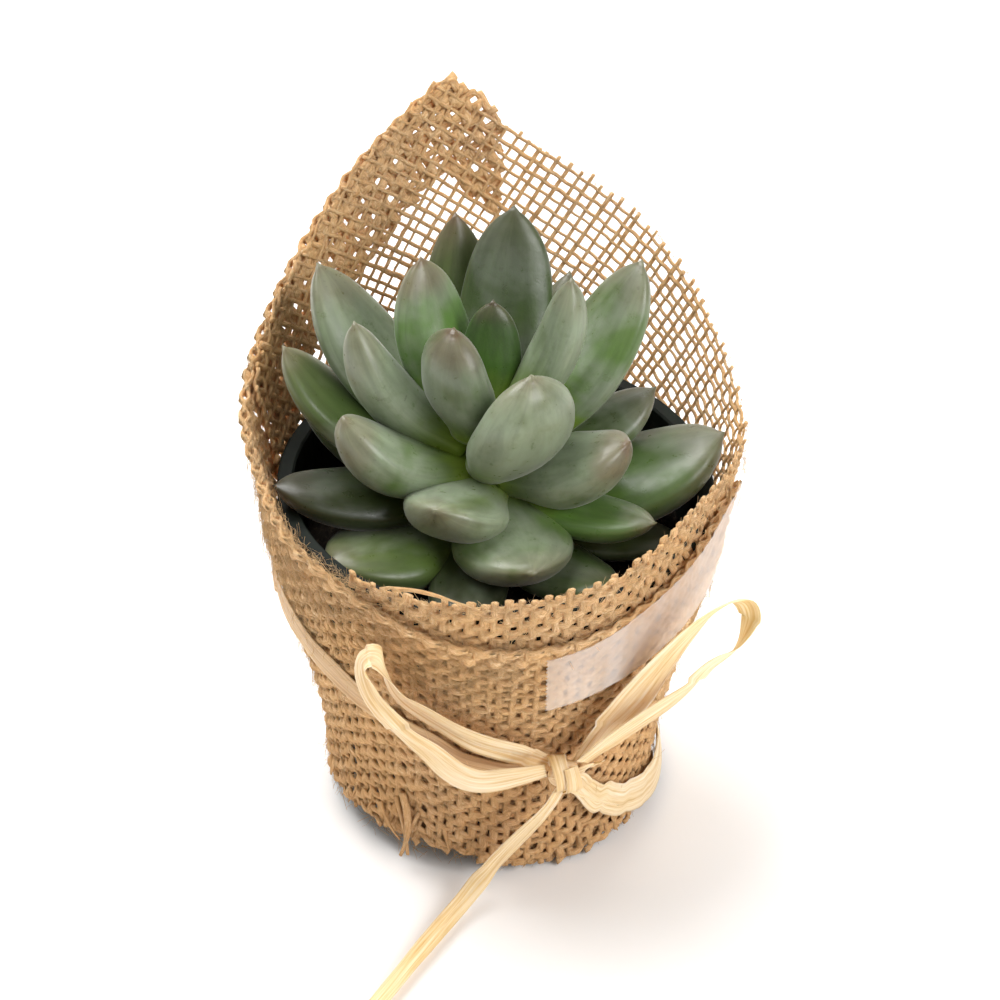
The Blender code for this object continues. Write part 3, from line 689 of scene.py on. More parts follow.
def make_burlap(jute):
    """Two turns of one length of burlap: the inner one rises to the peak at the back, and the outer one is
    folded over along its edge. Gives each turn's pieces, its flat size and its area."""
    peak = float(WRAP.peak)
    inner = Layer(INNER_MIDDLE, INNER_SPAN, (peak, INNER_SPAN[1]), WRAP.top, WRAP.foot, inner_sunk,
                  inner_width, 11)
    outer = Layer(OUTER_MIDDLE, OUTER_SPAN, (OUTER_SPAN[0], peak + 360.0), outer_top, outer_foot, outer_sunk,
                  outer_width, 12)
    for layer, fold in ((inner, 0.0), (outer, HEM_FOLD)):
        families = [layer.threads(True, fold), layer.threads(False, fold)]
        # half of the thread's length lies each way, a pitch apart, so it covers this much cloth
        area = sum(along(run[0])[-1] for runs in families for run in runs) / 2 * THREAD_PITCH
        if fold:
            pieces = [tubes(f"burlap_outer_{way}", runs, THREAD_SIDES, jute)
                      for way, runs in zip(("along", "across"), families)]
        else:
            pieces = [tubes("burlap_inner", families[0] + families[1], THREAD_SIDES, jute)]
        u_low, u_high, v_low, v_high = layer.limits()
        yield pieces, ((u_high - u_low) * MM, (v_high - v_low + fold) * MM), area * MM * MM


def tape_cover():
    """Where the tape lies: its azimuths, and a line of heights along its middle."""
    low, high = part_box("tape_strip")
    first, last = (math.degrees(math.atan2(x, y)) % 360.0 for x, y in ((high[0], high[1]), (low[0], low[1])))
    return first, last, high[2] / MM - 8.5, low[2] / MM + 5.0


def hairs(rng, azimuth, height, sunk, length, thickness, stand=0.5, upward=0.0, lift=0.6, flat_share=0.0):
    """Loose fibres that start in the cloth at these places, each a thin curved tube. The tape holds down
    those under it, and none reaches into the table."""
    count = len(azimuth)
    first, last, first_height, last_height = tape_cover()
    outward, around = polar(azimuth, 1.0, 0.0), polar(azimuth + 90.0, 1.0, 0.0)
    up = np.array([0.0, 0.0, 1.0])
    turn = rng.uniform(0.0, 2 * math.pi, count)
    level = rng.normal(0.0, 0.6, count) + math.pi * rng.integers(0, 2, count)
    turn = np.where(rng.uniform(size=count) < flat_share, level, turn)[:, None]
    direction = unit(np.cos(turn) * around + np.sin(turn) * up + up * upward
                     + outward * abs(rng.normal(0.0, stand, count))[:, None])
    start = polar(azimuth, WRAP.radius(azimuth, height) - sunk, height)
    turned = azimuth % 360.0
    line = np.interp(turned, [first, last], [first_height, last_height])
    taped = (turned > first - 4.0) & (turned < last + 2.0) & (abs(height - line) < 9.0)
    keep = ~taped & (start[:, 2] + np.minimum(direction[:, 2], 0.0) * length * 1.5 > 0.8)
    t = np.linspace(0.0, 1.0, HAIR_POINTS)[None, :, None]
    bend = (unit(np.cross(direction, outward)) * rng.normal(0.0, 1.0, count)[:, None]
            + outward * rng.normal(0.1, lift, count)[:, None])
    length = length[:, None, None]
    centres = start[:, None] + direction[:, None] * t * length + bend[:, None] * t ** 2 * length * 0.35
    half = thickness[:, None] / 2 * np.linspace(1.0, 0.6, HAIR_POINTS)
    return [(centres[n], np.tile(outward[n], (HAIR_POINTS, 1)), half[n], half[n])
            for n in np.flatnonzero(keep)]


def make_felt(jute):
    """The brushed face of the outer layer: fibres that lie flat on it, mostly lengthwise, and a thinner
    fluff over the whole front."""
    rng = np.random.default_rng(30)
    some = lambda low, high: rng.uniform(low, high, FELT_HAIRS)
    azimuth = some(103.0, 292.0)
    depth = 13.0 + 10.0 * smoothstep(azimuth, 190.0, 250.0)
    height = np.maximum(outer_top(azimuth) - abs(rng.normal(0.0, 1.0, FELT_HAIRS)) * depth, 6.0)
    runs = hairs(rng, azimuth, height, -some(0.40, 0.80), some(2.0, 7.0), some(0.06, 0.13),
                 stand=0.03, lift=0.08, flat_share=0.85)
    azimuth = some(92.0, 288.0)
    height = some(3.0, 1.0 + WRAP.top(azimuth))
    runs += hairs(rng, azimuth, height, some(-0.6, 0.3), some(1.2, 4.5), some(0.07, 0.14),
                  stand=0.10, lift=0.25, flat_share=0.3)
    return tubes("burlap_felt", runs, HAIR_SIDES, jute)


def make_fibres(jute):
    """Loose jute hairs that stand off the cloth and along every edge."""
    rng = np.random.default_rng(31)
    all_round, thin, stout = (-180.0, 180.0), (0.05, 0.10), (0.07, 0.13)
    # the whole cloth, the rim, the folded edge in front, the hem and the foot: how many hairs, their
    # azimuths, their heights, how deep they start, their length and thickness, and how they stand
    zones = [
        (3000, all_round, lambda a, some: 3.0 + (WRAP.top(a) - 3.5) * some(0.0, 1.0),
         (0.0, 1.4), (1.0, 4.5), thin, {"stand": 0.35}),
        (1500, all_round, lambda a, some: WRAP.top(a) - some(0.0, 2.0),
         (0.3, 1.6), (0.8, 2.8), thin, {"upward": 0.5}),
        (700, (100.0, 215.0), lambda a, some: outer_top(a) + some(-1.4, 0.3),
         (-0.4, 0.6), (1.0, 3.2), thin, {"upward": 0.7}),
        (1300, (216.0, 360.0), lambda a, some: WRAP.top(a) - some(0.5, HEM_DEPTH),
         (-0.6, 2.4), (1.2, 4.0), stout, {"stand": 0.15, "lift": 0.2}),
        (800, all_round, lambda a, some: WRAP.foot(a) + some(1.2, 4.0),
         (-0.2, 1.0), (0.8, 2.4), thin, {})]
    runs = []
    for count, azimuths, height_at, sunk, length, thickness, stance in zones:
        some = lambda low, high: rng.uniform(low, high, count)
        azimuth = some(*azimuths)
        runs += hairs(rng, azimuth, height_at(azimuth, some), some(*sunk), some(*length), some(*thickness),
                      **stance)
    return tubes("burlap_fibres", runs, HAIR_SIDES, jute)


def make_frays(jute):
    """Thread ends that have come loose: a tuft on the lip, and a lifted corner and cut ends at the foot."""
    rng = np.random.default_rng(47)
    runs = []

    def strand(places, width):
        """A loose thread through places given as azimuth, stand-off and height."""
        route = np.array([polar(a, WRAP.radius(a, h) + off, h) for a, off, h in places])
        centres = spline(route, ROUTE_STEP)
        azimuth = np.degrees(np.arctan2(centres[:, 0], centres[:, 1]))
        taper = np.linspace(1.0, 0.45, len(centres)) * (1 + wander(len(centres), 3, 0.12, rng))
        half = 0.5 * width * taper
        runs.append((centres, polar(azimuth, 1.0, 0.0), half, half * 0.6))

    # the lifted corner at the foot
    strand([(-150, 0.6, 19), (-152, 1.4, 15), (-153, 2.2, 11), (-152.5, 2.8, 7), (-151, 3.2, 3.6)], 1.9)
    strand([(-147, 0.6, 17), (-150, 1.6, 13), (-152.5, 2.6, 8.5), (-153.5, 3.0, 4.4)], 1.5)
    strand([(-156, 0.6, 15), (-154, 1.6, 11.5), (-152.8, 2.4, 7.6)], 1.2)
    strand([(-140, 0.5, 13), (-143, 1.2, 10.5), (-147, 1.9, 8.2), (-150, 2.2, 7)], 1.3)
    # the tuft on the lip
    strand([(-158, 0.4, 85), (-163, 0.7, 86.5), (-168, 0.5, 86), (-173, 0.9, 85), (-177, 0.7, 83.5)], 1.2)
    strand([(-155, 0.4, 84), (-159, 0.9, 86), (-161, 1.3, 84), (-160, 1.7, 82)], 1.0)
    for _ in range(46):  # cut ends round the foot
        azimuth = rng.uniform(-178.0, 178.0)
        low = float(WRAP.foot(azimuth)) + 1.4
        drift = rng.normal(0.0, 2.2)
        strand([(azimuth, 0.1, low + 6.0), (azimuth + drift * 0.4, 0.5, low + 3.2),
                (azimuth + drift, rng.uniform(0.4, 1.5), low + rng.uniform(0.0, 1.6))], rng.uniform(0.5, 1.2))
    return tubes("burlap_loose_ends", runs, THREAD_SIDES, jute)


# ---------------------------------------------------------------- leaves

# How each leaf differs: how fresh its green is, how much grey bloom it has, how brown its point is, how
# light painted shade leaves it, how much fuller it is than its CAD node and how many millimetres its point is
# lifted
LEAF_LOOKS = {1: (0.35, 0.40, 1.0, 0.74, 1.10, 0), 2: (0.95, 0.05, 0.9, 0.46, 1.0, 0),
              3: (0.1, 1.0, 0.6, 0.98, 1.10, 0), 4: (0.15, 0.95, 0.6, 0.95, 1.04, 0),
              5: (0.8, 0.40, 1.0, 1.0, 1.04, 0), 6: (0.2, 0.95, 0.6, 0.95, 1.04, 0),
              7: (0.35, 0.50, 0.5, 0.46, 1.02, 0), 8: (0.35, 0.75, 0.7, 1.0, 1.12, 1),
              9: (0.1, 0.85, 0.5, 1.05, 1.06, 3), 10: (0.3, 0.70, 1.0, 0.95, 1.06, 2),
              11: (0.5, 0.50, 0.6, 0.85, 1.02, 0), 12: (0.35, 0.60, 0.7, 0.88, 1.04, 0),
              13: (0.45, 0.45, 0.5, 0.95, 1.2, 3), 14: (0.5, 0.30, 0.6, 0.72, 1.22, 0),
              15: (0.25, 0.42, 0.7, 1.0, 1.04, 0), 16: (0.15, 0.30, 1.0, 0.8, 1.0, 0),
              18: (0.7, 0.35, 0.6, 0.9, 1.08, 0), 19: (0.2, 0.45, 0.7, 0.85, 1.12, 1),
              20: (0.1, 0.30, 0.7, 0.24, 1.02, 0), 21: (0.5, 0.35, 0.6, 0.8, 1.08, 0),
              24: (0.1, 0.30, 0.6, 0.35, 1.25, 0)}
COMMON_LOOK = (0.25, 0.45, 0.7, 0.7, 1.04, 0)


def leaf_rings(node):
    """A leaf's centre line and its cross-sections, recovered from its CAD node: the corners lie in rings
    between a corner at its foot and one at its point."""
    points, triangles = welded(node)
    joined = [set() for _ in points]
    for triangle in triangles:
        for a in triangle:
            joined[a].update(triangle)
    count = len(points)
    fans = sorted(range(count), key=lambda i: -len(joined[i]))[:2]
    stem_low, stem_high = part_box("stem")
    axis = (np.array(stem_low[:2]) + np.array(stem_high[:2])) / 2 / MM
    fans.sort(key=lambda i: np.hypot(*(points[i, :2] - axis)))
    level = {fans[0]: 0}
    front = [fans[0]]
    rings = []
    while front:
        front = sorted({int(b) for a in front for b in joined[a] if int(b) not in level})
        level.update((b, len(rings) + 1) for b in front)
        if front and fans[1] not in front:
            rings.append(front)
    centres = np.array([points[ring].mean(0) for ring in rings])
    path = np.concatenate([points[fans[0]][None], centres, points[fans[1]][None]])
    tangents = unit(np.gradient(path, axis=0))[1:-1]
    sides, before = [], None
    for ring, centre, tangent in zip(rings, centres, tangents):
        around = points[ring] - centre
        up = unit(np.cross(np.cross(tangent, [0.0, 0.0, 1.0]), tangent))
        right = np.cross(tangent, up)
        around = around[np.argsort(np.arctan2(around @ right, around @ up))]
        if before is not None:
            shifts = [np.roll(around, n, axis=0) for n in range(len(around))]
            around = min(shifts, key=lambda shifted: ((shifted - before) ** 2).sum())
        sides.append(around)
        before = around
    return path, np.array(sides)


def resampled(table, places, wanted):
    """A table of points at rising places, read smoothly at the wanted places."""
    shape = table.shape[1:]
    flat = table.reshape(len(table), -1)
    slopes = np.gradient(flat, places, axis=0)
    index = np.clip(np.searchsorted(places, wanted, side="right") - 1, 0, len(places) - 2)
    width = (places[index + 1] - places[index])[:, None]
    t = (wanted - places[index])[:, None] / width
    a, b, da, db = flat[index], flat[index + 1], slopes[index] * width, slopes[index + 1] * width
    value = (a * (2 * t ** 3 - 3 * t ** 2 + 1) + b * (3 * t ** 2 - 2 * t ** 3)
             + da * (t ** 3 - 2 * t ** 2 + t) + db * (t ** 3 - t ** 2))
    return value.reshape(len(wanted), *shape)


def rounded(ring_table, sides):
    """Rings with more sides, by adding no new waves round them."""
    waves = np.fft.rfft(ring_table, axis=1)
    count = ring_table.shape[1]
    full = np.zeros((ring_table.shape[0], sides // 2 + 1, 3), complex)
    full[:, :waves.shape[1]] = waves
    return np.fft.irfft(full, sides, axis=1) * sides / count


def leaf_shape(number, fuller, lifted):
    """A leaf's rings of points, how far along it each one is, and the points at its foot and tip."""
    rng = np.random.default_rng(100 + number)
    path, sides = leaf_rings(f"leaf_{number:02d}")
    length = along(path)[-1]
    places = along(path) / length
    even = np.linspace(0.0, 1.0, LEAF_RINGS)
    share = 0.5 * np.sin(0.5 * math.pi * even) ** 0.85 + 0.5 * even  # rings crowd towards the point
    centres = resampled(path, places, share)
    # cross-sections read against the square root of the distance to each end keep the ends round
    bulge = np.sqrt(np.clip(places * (1 - places), 0, None))
    scaled = sides / bulge[1:-1, None, None]
    scaled = np.concatenate([scaled[:1], scaled, scaled[-1:]])
    rings = resampled(scaled, places, share) * np.sqrt(np.clip(share * (1 - share), 0, None))[:, None, None]
    rings = rounded(rings, LEAF_SIDES) * LEAF_SWELL
    # the CAD section's own size gives way to a fuller foot and a long point
    size = np.sqrt((rings ** 2).sum(-1).mean(-1))
    outline = fuller * (0.66 + 0.34 * smoothstep(share, 0.0, 0.52)) * (1 - share ** 5.5) ** 0.76
    rings = rings / np.maximum(size, 1e-6)[:, None, None] * (size.max() * outline)[:, None, None]
    turn = np.arange(LEAF_SIDES) / LEAF_SIDES * 2 * math.pi
    lobes = 1 + 0.012 * np.cos(3 * turn + rng.uniform(0, 6)) + 0.010 * np.cos(5 * turn + rng.uniform(0, 6))
    waves = 1 + 0.018 * np.sin(share * rng.uniform(7, 13) + rng.uniform(0, 6))
    rings = rings * lobes[None, :, None] * waves[:, None, None]
    # the back of the leaf bellies down, so that its point turns up
    chord = unit(path[-1] - path[0])
    belly = np.cross(chord, unit(np.cross(chord, [0.0, 0.0, 1.0])))
    belly = belly * (-1.0 if belly[2] > 0 else 1.0)
    sag = 0.035 * length * np.sin(math.pi * share ** 1.5) - lifted * share ** 3
    centres = centres + belly * sag[:, None]
    tip = path[-1] + unit(path[-1] - path[-2]) * 0.8 - belly * lifted
    return centres[1:-1, None] + rings[1:-1], share[1:-1], path[0], tip


def leaf_faces(rows, low, high):
    """Quads between a leaf's rings and triangles to its foot and its tip, with the places of both."""
    quads, quad_places = grid_faces(rows, LEAF_SIDES)
    ring = np.arange(LEAF_SIDES)
    beside = (ring + 1) % LEAF_SIDES
    foot = np.full(LEAF_SIDES, rows * LEAF_SIDES)
    last = (rows - 1) * LEAF_SIDES
    caps = np.concatenate([np.stack([beside, ring, foot], -1),
                           np.stack([last + ring, last + beside, foot + 1], -1)])
    x, step = ring / LEAF_SIDES, 1.0 / LEAF_SIDES
    cap_places = [np.stack([np.stack(across, -1), np.tile(up, (LEAF_SIDES, 1))], -1)
                  for across, up in (((x + step, x, x + step / 2), [low, low, 0.0]),
                                     ((x, x + step, x + step / 2), [high, high, 1.0]))]
    quad_places = quad_places * [1.0, high - low] + [0.0, low]
    return quads, caps, quad_places, np.concatenate(cap_places).reshape(-1, 2)


def make_leaf(number, material):
    *looks, fuller, lifted = LEAF_LOOKS.get(number, COMMON_LOOK)
    rings, share, foot, tip = leaf_shape(number, fuller, lifted)
    points = np.concatenate([rings.reshape(-1, 3), foot[None], tip[None]])
    quads, caps, quad_places, cap_places = leaf_faces(len(rings), share[0], share[-1])
    if signed_volume(points, quads) < 0:
        quads, caps = quads[:, ::-1], caps[:, ::-1]
        quad_places, cap_places = flipped(quad_places, 4), flipped(cap_places, 3)
    tints = {"leaf_along": np.concatenate([np.repeat(share, LEAF_SIDES), [0.0, 1.0]])}
    # the last look is painted shade, which darkens the leaf's colour
    for look, value in zip(("fresh", "bloom", "blush", "shade"), looks):
        tints[f"leaf_{look}"] = np.full(len(points), value)
    build_mesh(f"leaf_skin_{number:02d}", points, [quads, caps], material,
               {"OFBake": np.concatenate([quad_places, cap_places])}, f"leaf_{number:02d}", tints)


# ---------------------------------------------------------------- raffia

def ribbon(name, route, widths, facing, twists, material, node, seed, crease=0.35, thickness=0.2, curl=0.0):
    """A strip of raffia along a route: its widths, which way its flat side faces, its twist in degrees, how
    deep it is creased lengthwise and how far its edges curl. The lists are spread evenly over the route."""
    rng = np.random.default_rng(seed)
    centres = spline(route, ROUTE_STEP)
    count, length = len(centres), along(centres)[-1]
    share = along(centres) / length
    spread = lambda values: np.interp(share, np.linspace(0, 1, len(values)), values)
    tangent = unit(blurred_columns(np.gradient(centres, axis=0), 2))
    normal = facing(centres)
    normal = unit(normal - tangent * (normal * tangent).sum(-1, keepdims=True))
    angle = np.radians(blurred(spread(twists), 3))[:, None]
    side = np.cross(tangent, normal)
    cosine, sine = np.cos(angle), np.sin(angle)
    normal, side = normal * cosine + side * sine, side * cosine - normal * sine
    width = spread(widths) * (1 + wander(count, 5, 0.05, rng))
    c = np.linspace(-1.0, 1.0, RIBBON_COLUMNS)
    phase = rng.uniform(0, 6) + wander(count, 14, 0.7, rng)[:, None]
    fold_line = wander(count, 16, 0.42, rng)[:, None]
    second = fold_line + 0.75 * np.sign(-fold_line)
    height = crease * (1.8 * abs(c[None] - fold_line) - 1.3 * abs(c[None] - second)
                       + 0.16 * np.cos(5.2 * c[None] + 1.7 * phase))
    height = height * np.minimum(width / 4.0, 1.0)[:, None] + curl * (c[None] ** 2) * width[:, None] / 4
    middle = centres[:, None] + side[:, None] * (c[None] * width[:, None] / 2)[..., None]
    middle = middle + normal[:, None] * height[..., None]
    lift = normal[:, None] * (thickness / 2 * (1 - 0.6 * c ** 4))[None, :, None]
    rings = np.concatenate([middle + lift, (middle - lift)[:, ::-1]], axis=1)
    strip_wide = 2 * width.mean()
    size = max(length, strip_wide) * 1.05
    maps = lambda places: {
        "Along": np.stack([places[:, 1] * length + 31.7 * seed, places[:, 0]], -1),
        "OFBake": np.stack([places[:, 1] * length / size, places[:, 0] * strip_wide / size + 0.02], -1)}
    end_places = np.zeros((4 * RIBBON_COLUMNS, 2)) + [0.5, 0.9]
    end_places = end_places + 0.02 * rng.normal(size=end_places.shape)
    return closed_skin(name, rings, material, node, maps, end_places=end_places)


def outwards(centres):
    """Away from the pot's axis."""
    return unit(centres * [1.0, 1.0, 0.0])


def table_side(centres):
    """Out from the pot at first, then up where the strip lies on the table."""
    lying = smoothstep(-centres[:, 2], -9.0, -3.0)[:, None]
    return unit(outwards(centres) * (1 - lying) + np.array([0.0, 0.0, 1.0]) * lying)


def middle_of(node):
    low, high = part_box(node)
    return np.array((low + high) / 2) / MM


def band_route(azimuth_from, azimuth_to, sag=0.0):
    """The middle of the CAD band between two azimuths, a little outside it."""
    points, _ = welded("raffia_band")
    azimuth = np.degrees(np.arctan2(points[:, 0], points[:, 1]))
    route = []
    for target in np.linspace(azimuth_from, azimuth_to, 40):
        near = abs(gap_between(azimuth, target)) < 4.5
        if near.any():
            radius = np.hypot(points[near, 0], points[near, 1])
            height = (points[near, 2].min() + points[near, 2].max()) / 2
            route.append(polar(target, (radius.min() + radius.max()) / 2 + 0.35, height - sag))
    return np.array(route)


def make_raffia():
    """One length of raffia round the wrapper, tied in a bow in front, with its long end on the table."""
    cream = raffia_material("raffia_cream", srgb(238, 204, 156), srgb(210, 165, 108), srgb(250, 230, 200))
    # a darker copy of the cream raffia: painted shade for the band round the wrapper, which lies in shadow
    shaded_cream = raffia_material("raffia_cream_painted_shade", srgb(206, 164, 118), srgb(172, 128, 84), srgb(230, 194, 148))
    knot = middle_of("raffia_knot")
    knot_azimuth = math.degrees(math.atan2(knot[0], knot[1]))
    out = outwards(knot)
    up = np.array([0.0, 0.0, 1.0])
    left = np.cross(out, up)
    near_knot = lambda rightwards, rise, stand: knot + left * -rightwards + up * rise + out * stand

    # the band round the wrapper wears the painted-shade copy of the cream raffia
    ribbon("raffia_round_band", band_route(knot_azimuth + 6.0, knot_azimuth + 300.0),
           [3.4, 6.2, 7.0, 7.2, 6.8, 6.6, 6.8, 7.0, 6.8], outwards, [0, 0], shaded_cream, "raffia_band", 3, 0.22, 0.22)
    right_route = band_route(knot_azimuth - 6.0, knot_azimuth - 100.0, 1.2)
    ribbon("raffia_right_band", right_route + outwards(right_route) * 0.35, [4.2, 6.6, 7.6, 7.4, 6.8, 6.2],
           outwards, [0, 0], cream, "raffia_band", 4, 0.34, 0.22)
    ribbon("raffia_loop_left_strip", LOOP_LEFT,
           [3.4, 6.2, 6.4, 5.4, 5.4, 5.0, 4.8, 5.0, 5.4, 5.4, 5.2, 6.0, 7.4, 6.6, 4.0], outwards,
           [0, 0, 0, -6, -12, -30, -90, -150, -168, -174, -180, -180, -180, -180],
           cream, "raffia_loop_left", 5, 0.34)
    ribbon("raffia_loop_right_strip", LOOP_RIGHT,
           [3.6, 7.2, 9.0, 9.4, 8.6, 7.0, 5.6, 5.0, 5.4, 5.8, 6.0, 6.0, 6.2, 6.2, 5.4, 3.4], outwards,
           [0, 0, 0, 0, 4, 12, 40, 95, 140, 168, 180, 180, 180, 180],
           cream, "raffia_loop_right", 6, 0.36)
    tail = ribbon("raffia_long_end", TAIL_LONG, [2.8, 3.8, 4.0, 3.8, 3.6, 3.6, 3.6, 3.4, 3.0], table_side,
                  [0, 4, -6, -4, 6, 0], cream, "raffia_tail_long", 7, 0.38)
    stub = [near_knot(2.0, 0.2, 0.8), near_knot(4.2, 0.9, 1.0),
            (middle_of("raffia_tail_short") + near_knot(6.0, 1.2, 1.0)) / 2, near_knot(7.8, 2.0, 1.2)]
    ribbon("raffia_short_end", stub, [2.0, 2.2, 1.6, 0.8], outwards, [0, 10, 20], cream,
           "raffia_tail_short", 8, 0.15)
    strand = [near_knot(-0.6, -2.6, 0.6), near_knot(2.5, -5.4, 0.8), near_knot(7.0, -8.6, 0.8),
              near_knot(11.5, -11.0, 0.9)]
    ribbon("raffia_thin_strand", strand, [0.9, 0.7, 0.6, 0.4], outwards, [0, 20], cream, None, 9, 0.05)
    turns = []
    for step in range(27):
        angle = math.radians(-60.0 + 18.0 * step)
        reach = 3.3 + 0.03 * step
        turns.append(knot + out * math.cos(angle) * reach * 0.8 + up * math.sin(angle) * reach
                     + left * (1.3 - 0.10 * step + 0.9 * math.sin(angle)))
    from_knot = lambda centres: unit(centres - knot - left * ((centres - knot) @ left)[:, None])
    ribbon("raffia_knot_wrap", turns, [3.2, 3.6, 3.8, 3.4, 3.0], from_knot, [0, 6, -4], cream,
           "raffia_knot", 12, 0.22)
    lump("raffia_knot_heart", knot, (left, up, out), (3.1, 2.9, 2.3), cream)
    route = [[c * MM for c in point] for point in TAIL_LONG]
    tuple(route[0])
    along(np.array(TAIL_LONG))[-1] * MM


def lump(name, centre, axes, sizes, material):
    """The gathered heart of the knot: a small creased body."""
    rows, columns = 18, 28
    tilt = np.linspace(0.04, math.pi - 0.04, rows)[:, None]
    turn = (np.arange(columns) / columns * 2 * math.pi)[None]
    crease = 1 + 0.05 * np.cos(9 * turn) * np.sin(tilt) + 0.04 * np.cos(4 * turn + 3 * tilt)
    shares = (np.cos(tilt) * np.ones_like(turn), np.sin(tilt) * np.cos(turn), np.sin(tilt) * np.sin(turn))
    rings = centre
    for axis, share, size in zip(axes, shares, sizes):
        rings = rings + axis * (share * size * crease)[..., None]
    ends = np.array([np.arange(columns)[::-1], (rows - 1) * columns + np.arange(columns)])
    maps = lambda places: {"Along": places[:, ::-1] * [6.0, 1.0], "OFBake": places}
    return closed_skin(name, rings, material, "raffia_knot", maps, ends)


# ---------------------------------------------------------------- tape and soil

def make_tape(material):
    """A strip of matt tape that presses on the outer layer, with a toothed cut end and creases."""
    points, _ = welded("tape_strip")
    azimuth = np.degrees(np.arctan2(points[:, 0], points[:, 1])) % 360.0
    radius = np.hypot(points[:, 0], points[:, 1])
    rows, columns = 120, 27
    angles = np.linspace(azimuth.min(), azimuth.max(), rows)
    stations = np.linspace(azimuth.min(), azimuth.max(), 14)
    tables = []
    for angle in stations:
        near = abs(azimuth - angle) < 3.6
        tables.append((points[near, 2].min(), points[near, 2].max(), radius[near].max()))
    low, high, out = (blurred(np.interp(angles, stations, table), 6) for table in zip(*tables))
    rng = np.random.default_rng(61)
    c = np.linspace(0.0, 1.0, columns)
    height = low[:, None] * (1 - c) + high[:, None] * c
    teeth = 0.55 * abs((np.arange(columns) * 0.5) % 1.0 - 0.5)
    angle_grid = np.repeat(angles[:, None], columns, 1)
    angle_grid[-1] += teeth * 1.6
    angle_grid[0] -= teeth
    u = np.radians(angle_grid) * TAPE_RADIUS
    wave = 2 * math.pi / THREAD_PITCH
    print_of_cloth = TAPE_PRINT * np.cos(wave * u) * np.cos(wave * height)
    wrinkles = 0.0  # two slanting ones: height, place across the tape, slope, width and where it fades in
    for tall, across, slope, wide, fade in ((0.45, 0.35, 0.22, 1.1, (-128.0, -112.0)),
                                            (0.30, 0.7, -0.30, 0.9, (-136.0, -118.0))):
        line = (low + across * (high - low))[:, None]
        ridge = tall * np.exp(-((height - line + slope * (u - u.mean())) / wide) ** 2)
        wrinkles = wrinkles + ridge * smoothstep(-angle_grid, *fade)
    lift = blurred_columns(np.array([wander(columns, 4, 0.05, rng) for _ in range(rows)]), 3)
    reach = out[:, None] + TAPE_STAND_OFF + print_of_cloth + wrinkles + lift
    upper, lower = polar(angle_grid, reach, height), polar(angle_grid, reach - TAPE_THICKNESS, height)
    rings = np.concatenate([upper, lower[:, ::-1]], axis=1)
    ends = []
    for row, order in ((0, 1), (rows - 1, -1)):
        base = row * 2 * columns
        for n in range(columns - 1):
            face = [base + n, base + n + 1, base + 2 * columns - 2 - n, base + 2 * columns - 1 - n]
            ends.append(face[::order])
    end_places = np.tile([[0.98, 0.98], [0.99, 0.98], [0.99, 0.99], [0.98, 0.99]], (len(ends), 1))
    return closed_skin("tape_film", rings, material, "tape_strip",
                       lambda places: {"OFBake": places * [0.95, 0.97]}, np.array(ends), end_places)


def make_soil(material):
    """Crumbly potting mix: a rough top over the plug, inside the pot."""
    low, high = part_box("potting_soil")
    radius = (high[0] - low[0]) / 2 / MM
    top = high[2] / MM
    rng = np.random.default_rng(71)
    rows, columns = 46, 150
    reach = np.concatenate([np.linspace(1.0, radius - 1.0, rows - 2), [radius - 0.9, radius - 3.5]])
    turn = np.arange(columns) / columns * 360.0
    crumbs = rng.normal(size=(rows, columns))
    crumbs = 0.6 * crumbs + 0.4 * (np.roll(crumbs, 1, 1) + np.roll(crumbs, -1, 1))
    height = top - 1.3 * (reach[:, None] / radius) ** 2 + 0.42 * crumbs - 0.4
    height[-1] = top - 9.0
    points = polar(np.repeat(turn[None], rows, 0), np.repeat(reach[:, None], columns, 1), height)
    for axis in (0, 1):
        points[..., axis] += 0.25 * rng.normal(size=(rows, columns)) * (np.arange(rows) < rows - 2)[:, None]
    return closed_skin("soil_crumbs", points, material, "potting_soil",
                       lambda places: {"OFBake": places})


# ---------------------------------------------------------------- the studio

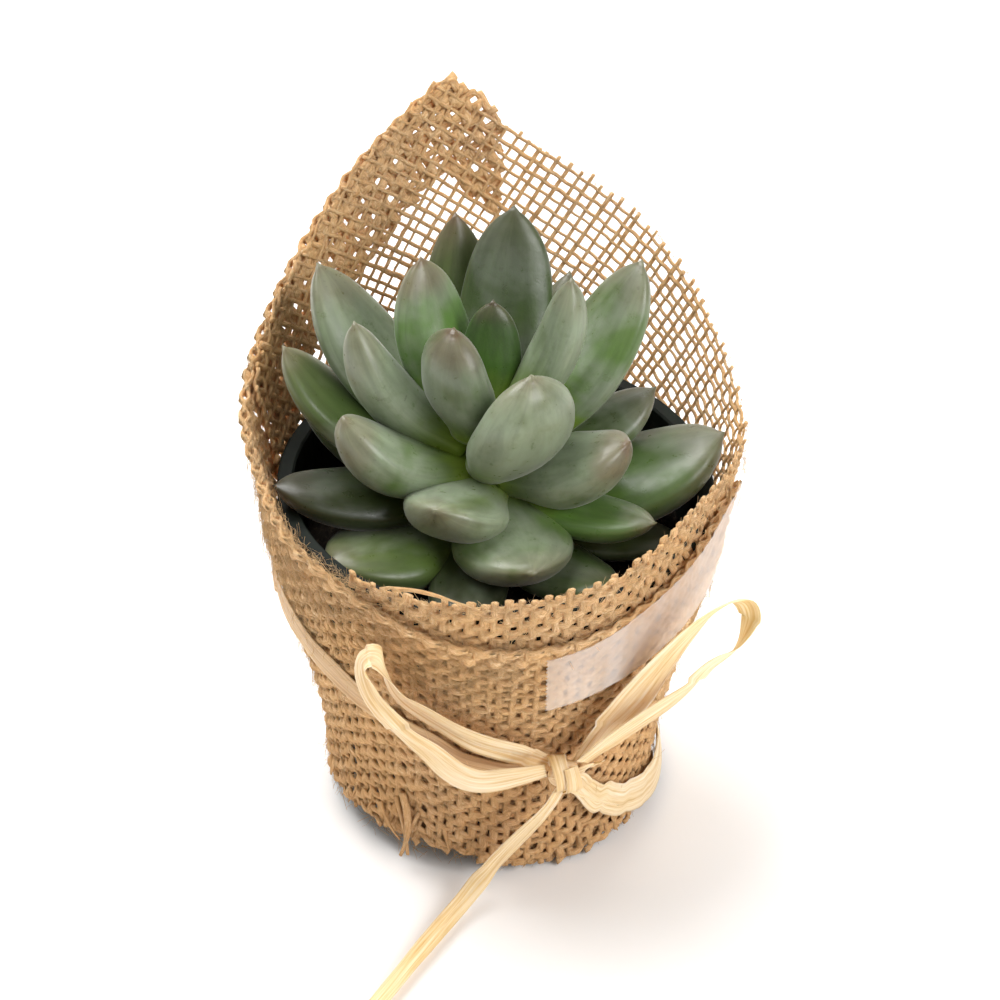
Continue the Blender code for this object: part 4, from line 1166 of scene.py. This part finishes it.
def make_studio():
    """A pale floor, and soft light from the upper left and behind."""
    reach = FLOOR_REACH * MM
    corners = [(-reach, -reach, 0.0), (reach, -reach, 0.0), (reach, reach, 0.0), (-reach, reach, 0.0)]
    mesh = bpy.data.meshes.new("floor")
    mesh.from_pydata(corners, [], [(0, 1, 2, 3)])
    mesh.materials.append(floor_material())
    floor = bpy.data.objects.new("floor", mesh)
    bpy.context.scene.collection.objects.link(floor)
    floor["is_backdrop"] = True

    world = bpy.data.worlds.new("studio")
    bpy.context.scene.world = world
    world.use_nodes = True
    background = world.node_tree.nodes["Background"]
    background.inputs["Color"].default_value = (1.0, 0.99, 0.98, 1.0)
    background.inputs["Strength"].default_value = WORLD_STRENGTH
    for name, (place, wide, power) in LIGHTS.items():
        light = bpy.data.lights.new(name, "AREA")
        light.size = wide
        light.energy = power
        lamp = bpy.data.objects.new(name, light)
        lamp.location = place
        aim = Vector(place) - Vector((0.0, 0.0, 0.06))
        lamp.rotation_euler = aim.to_track_quat("Z", "Y").to_euler()
        bpy.context.scene.collection.objects.link(lamp)


def make_camera():
    elevation = math.radians(CAMERA_ELEVATION)
    back = Vector((0.0, -math.cos(elevation), math.sin(elevation)))
    level_up = Vector((0.0, math.sin(elevation), math.cos(elevation)))
    roll = math.radians(CAMERA_ROLL)
    right = Vector((1.0, 0.0, 0.0)) * math.cos(roll) + level_up * math.sin(roll)
    up = right.cross(-back)
    forward = (-back + right * CAMERA_AIM_RIGHT + up * CAMERA_AIM_UP).normalized()
    right = forward.cross(up).normalized()
    up = right.cross(forward)
    data = bpy.data.cameras.new("camera")
    data.lens = CAMERA_LENS
    data.sensor_width = CAMERA_SENSOR
    camera = bpy.data.objects.new("camera", data)
    axes = Matrix((right, up, -forward)).transposed().to_4x4()
    place = (Vector(CAMERA_TARGET) + back * CAMERA_DISTANCE) * MM
    camera.matrix_world = Matrix.Translation(place) @ axes
    bpy.context.scene.collection.objects.link(camera)
    bpy.context.scene.camera = camera


# ---------------------------------------------------------------- assembly

make_camera()
make_studio()
bpy.context.scene.view_settings.view_transform = "Standard"

make_raffia()
jute = jute_material("jute", 0.0)
cloth = list(make_burlap(jute))
loose = [make_felt(jute_material("jute_fluff", 0.6)), make_fibres(jute), make_frays(jute)]

leaf_skin = leaf_material()
for number in range(1, LEAF_COUNT + 1):
    make_leaf(number, leaf_skin)
make_tape(tape_material())
make_soil(soil_material())
for node, material in (("stem", stem_material()), ("nursery_pot", pot_material())):
    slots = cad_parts[node].data.materials
    slots.clear()
    slots.append(material)

plain = lambda box: [[float(c) for c in corner] for corner in box]
{"cad": plain(CAD_BOX), "visual": plain(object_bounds())}
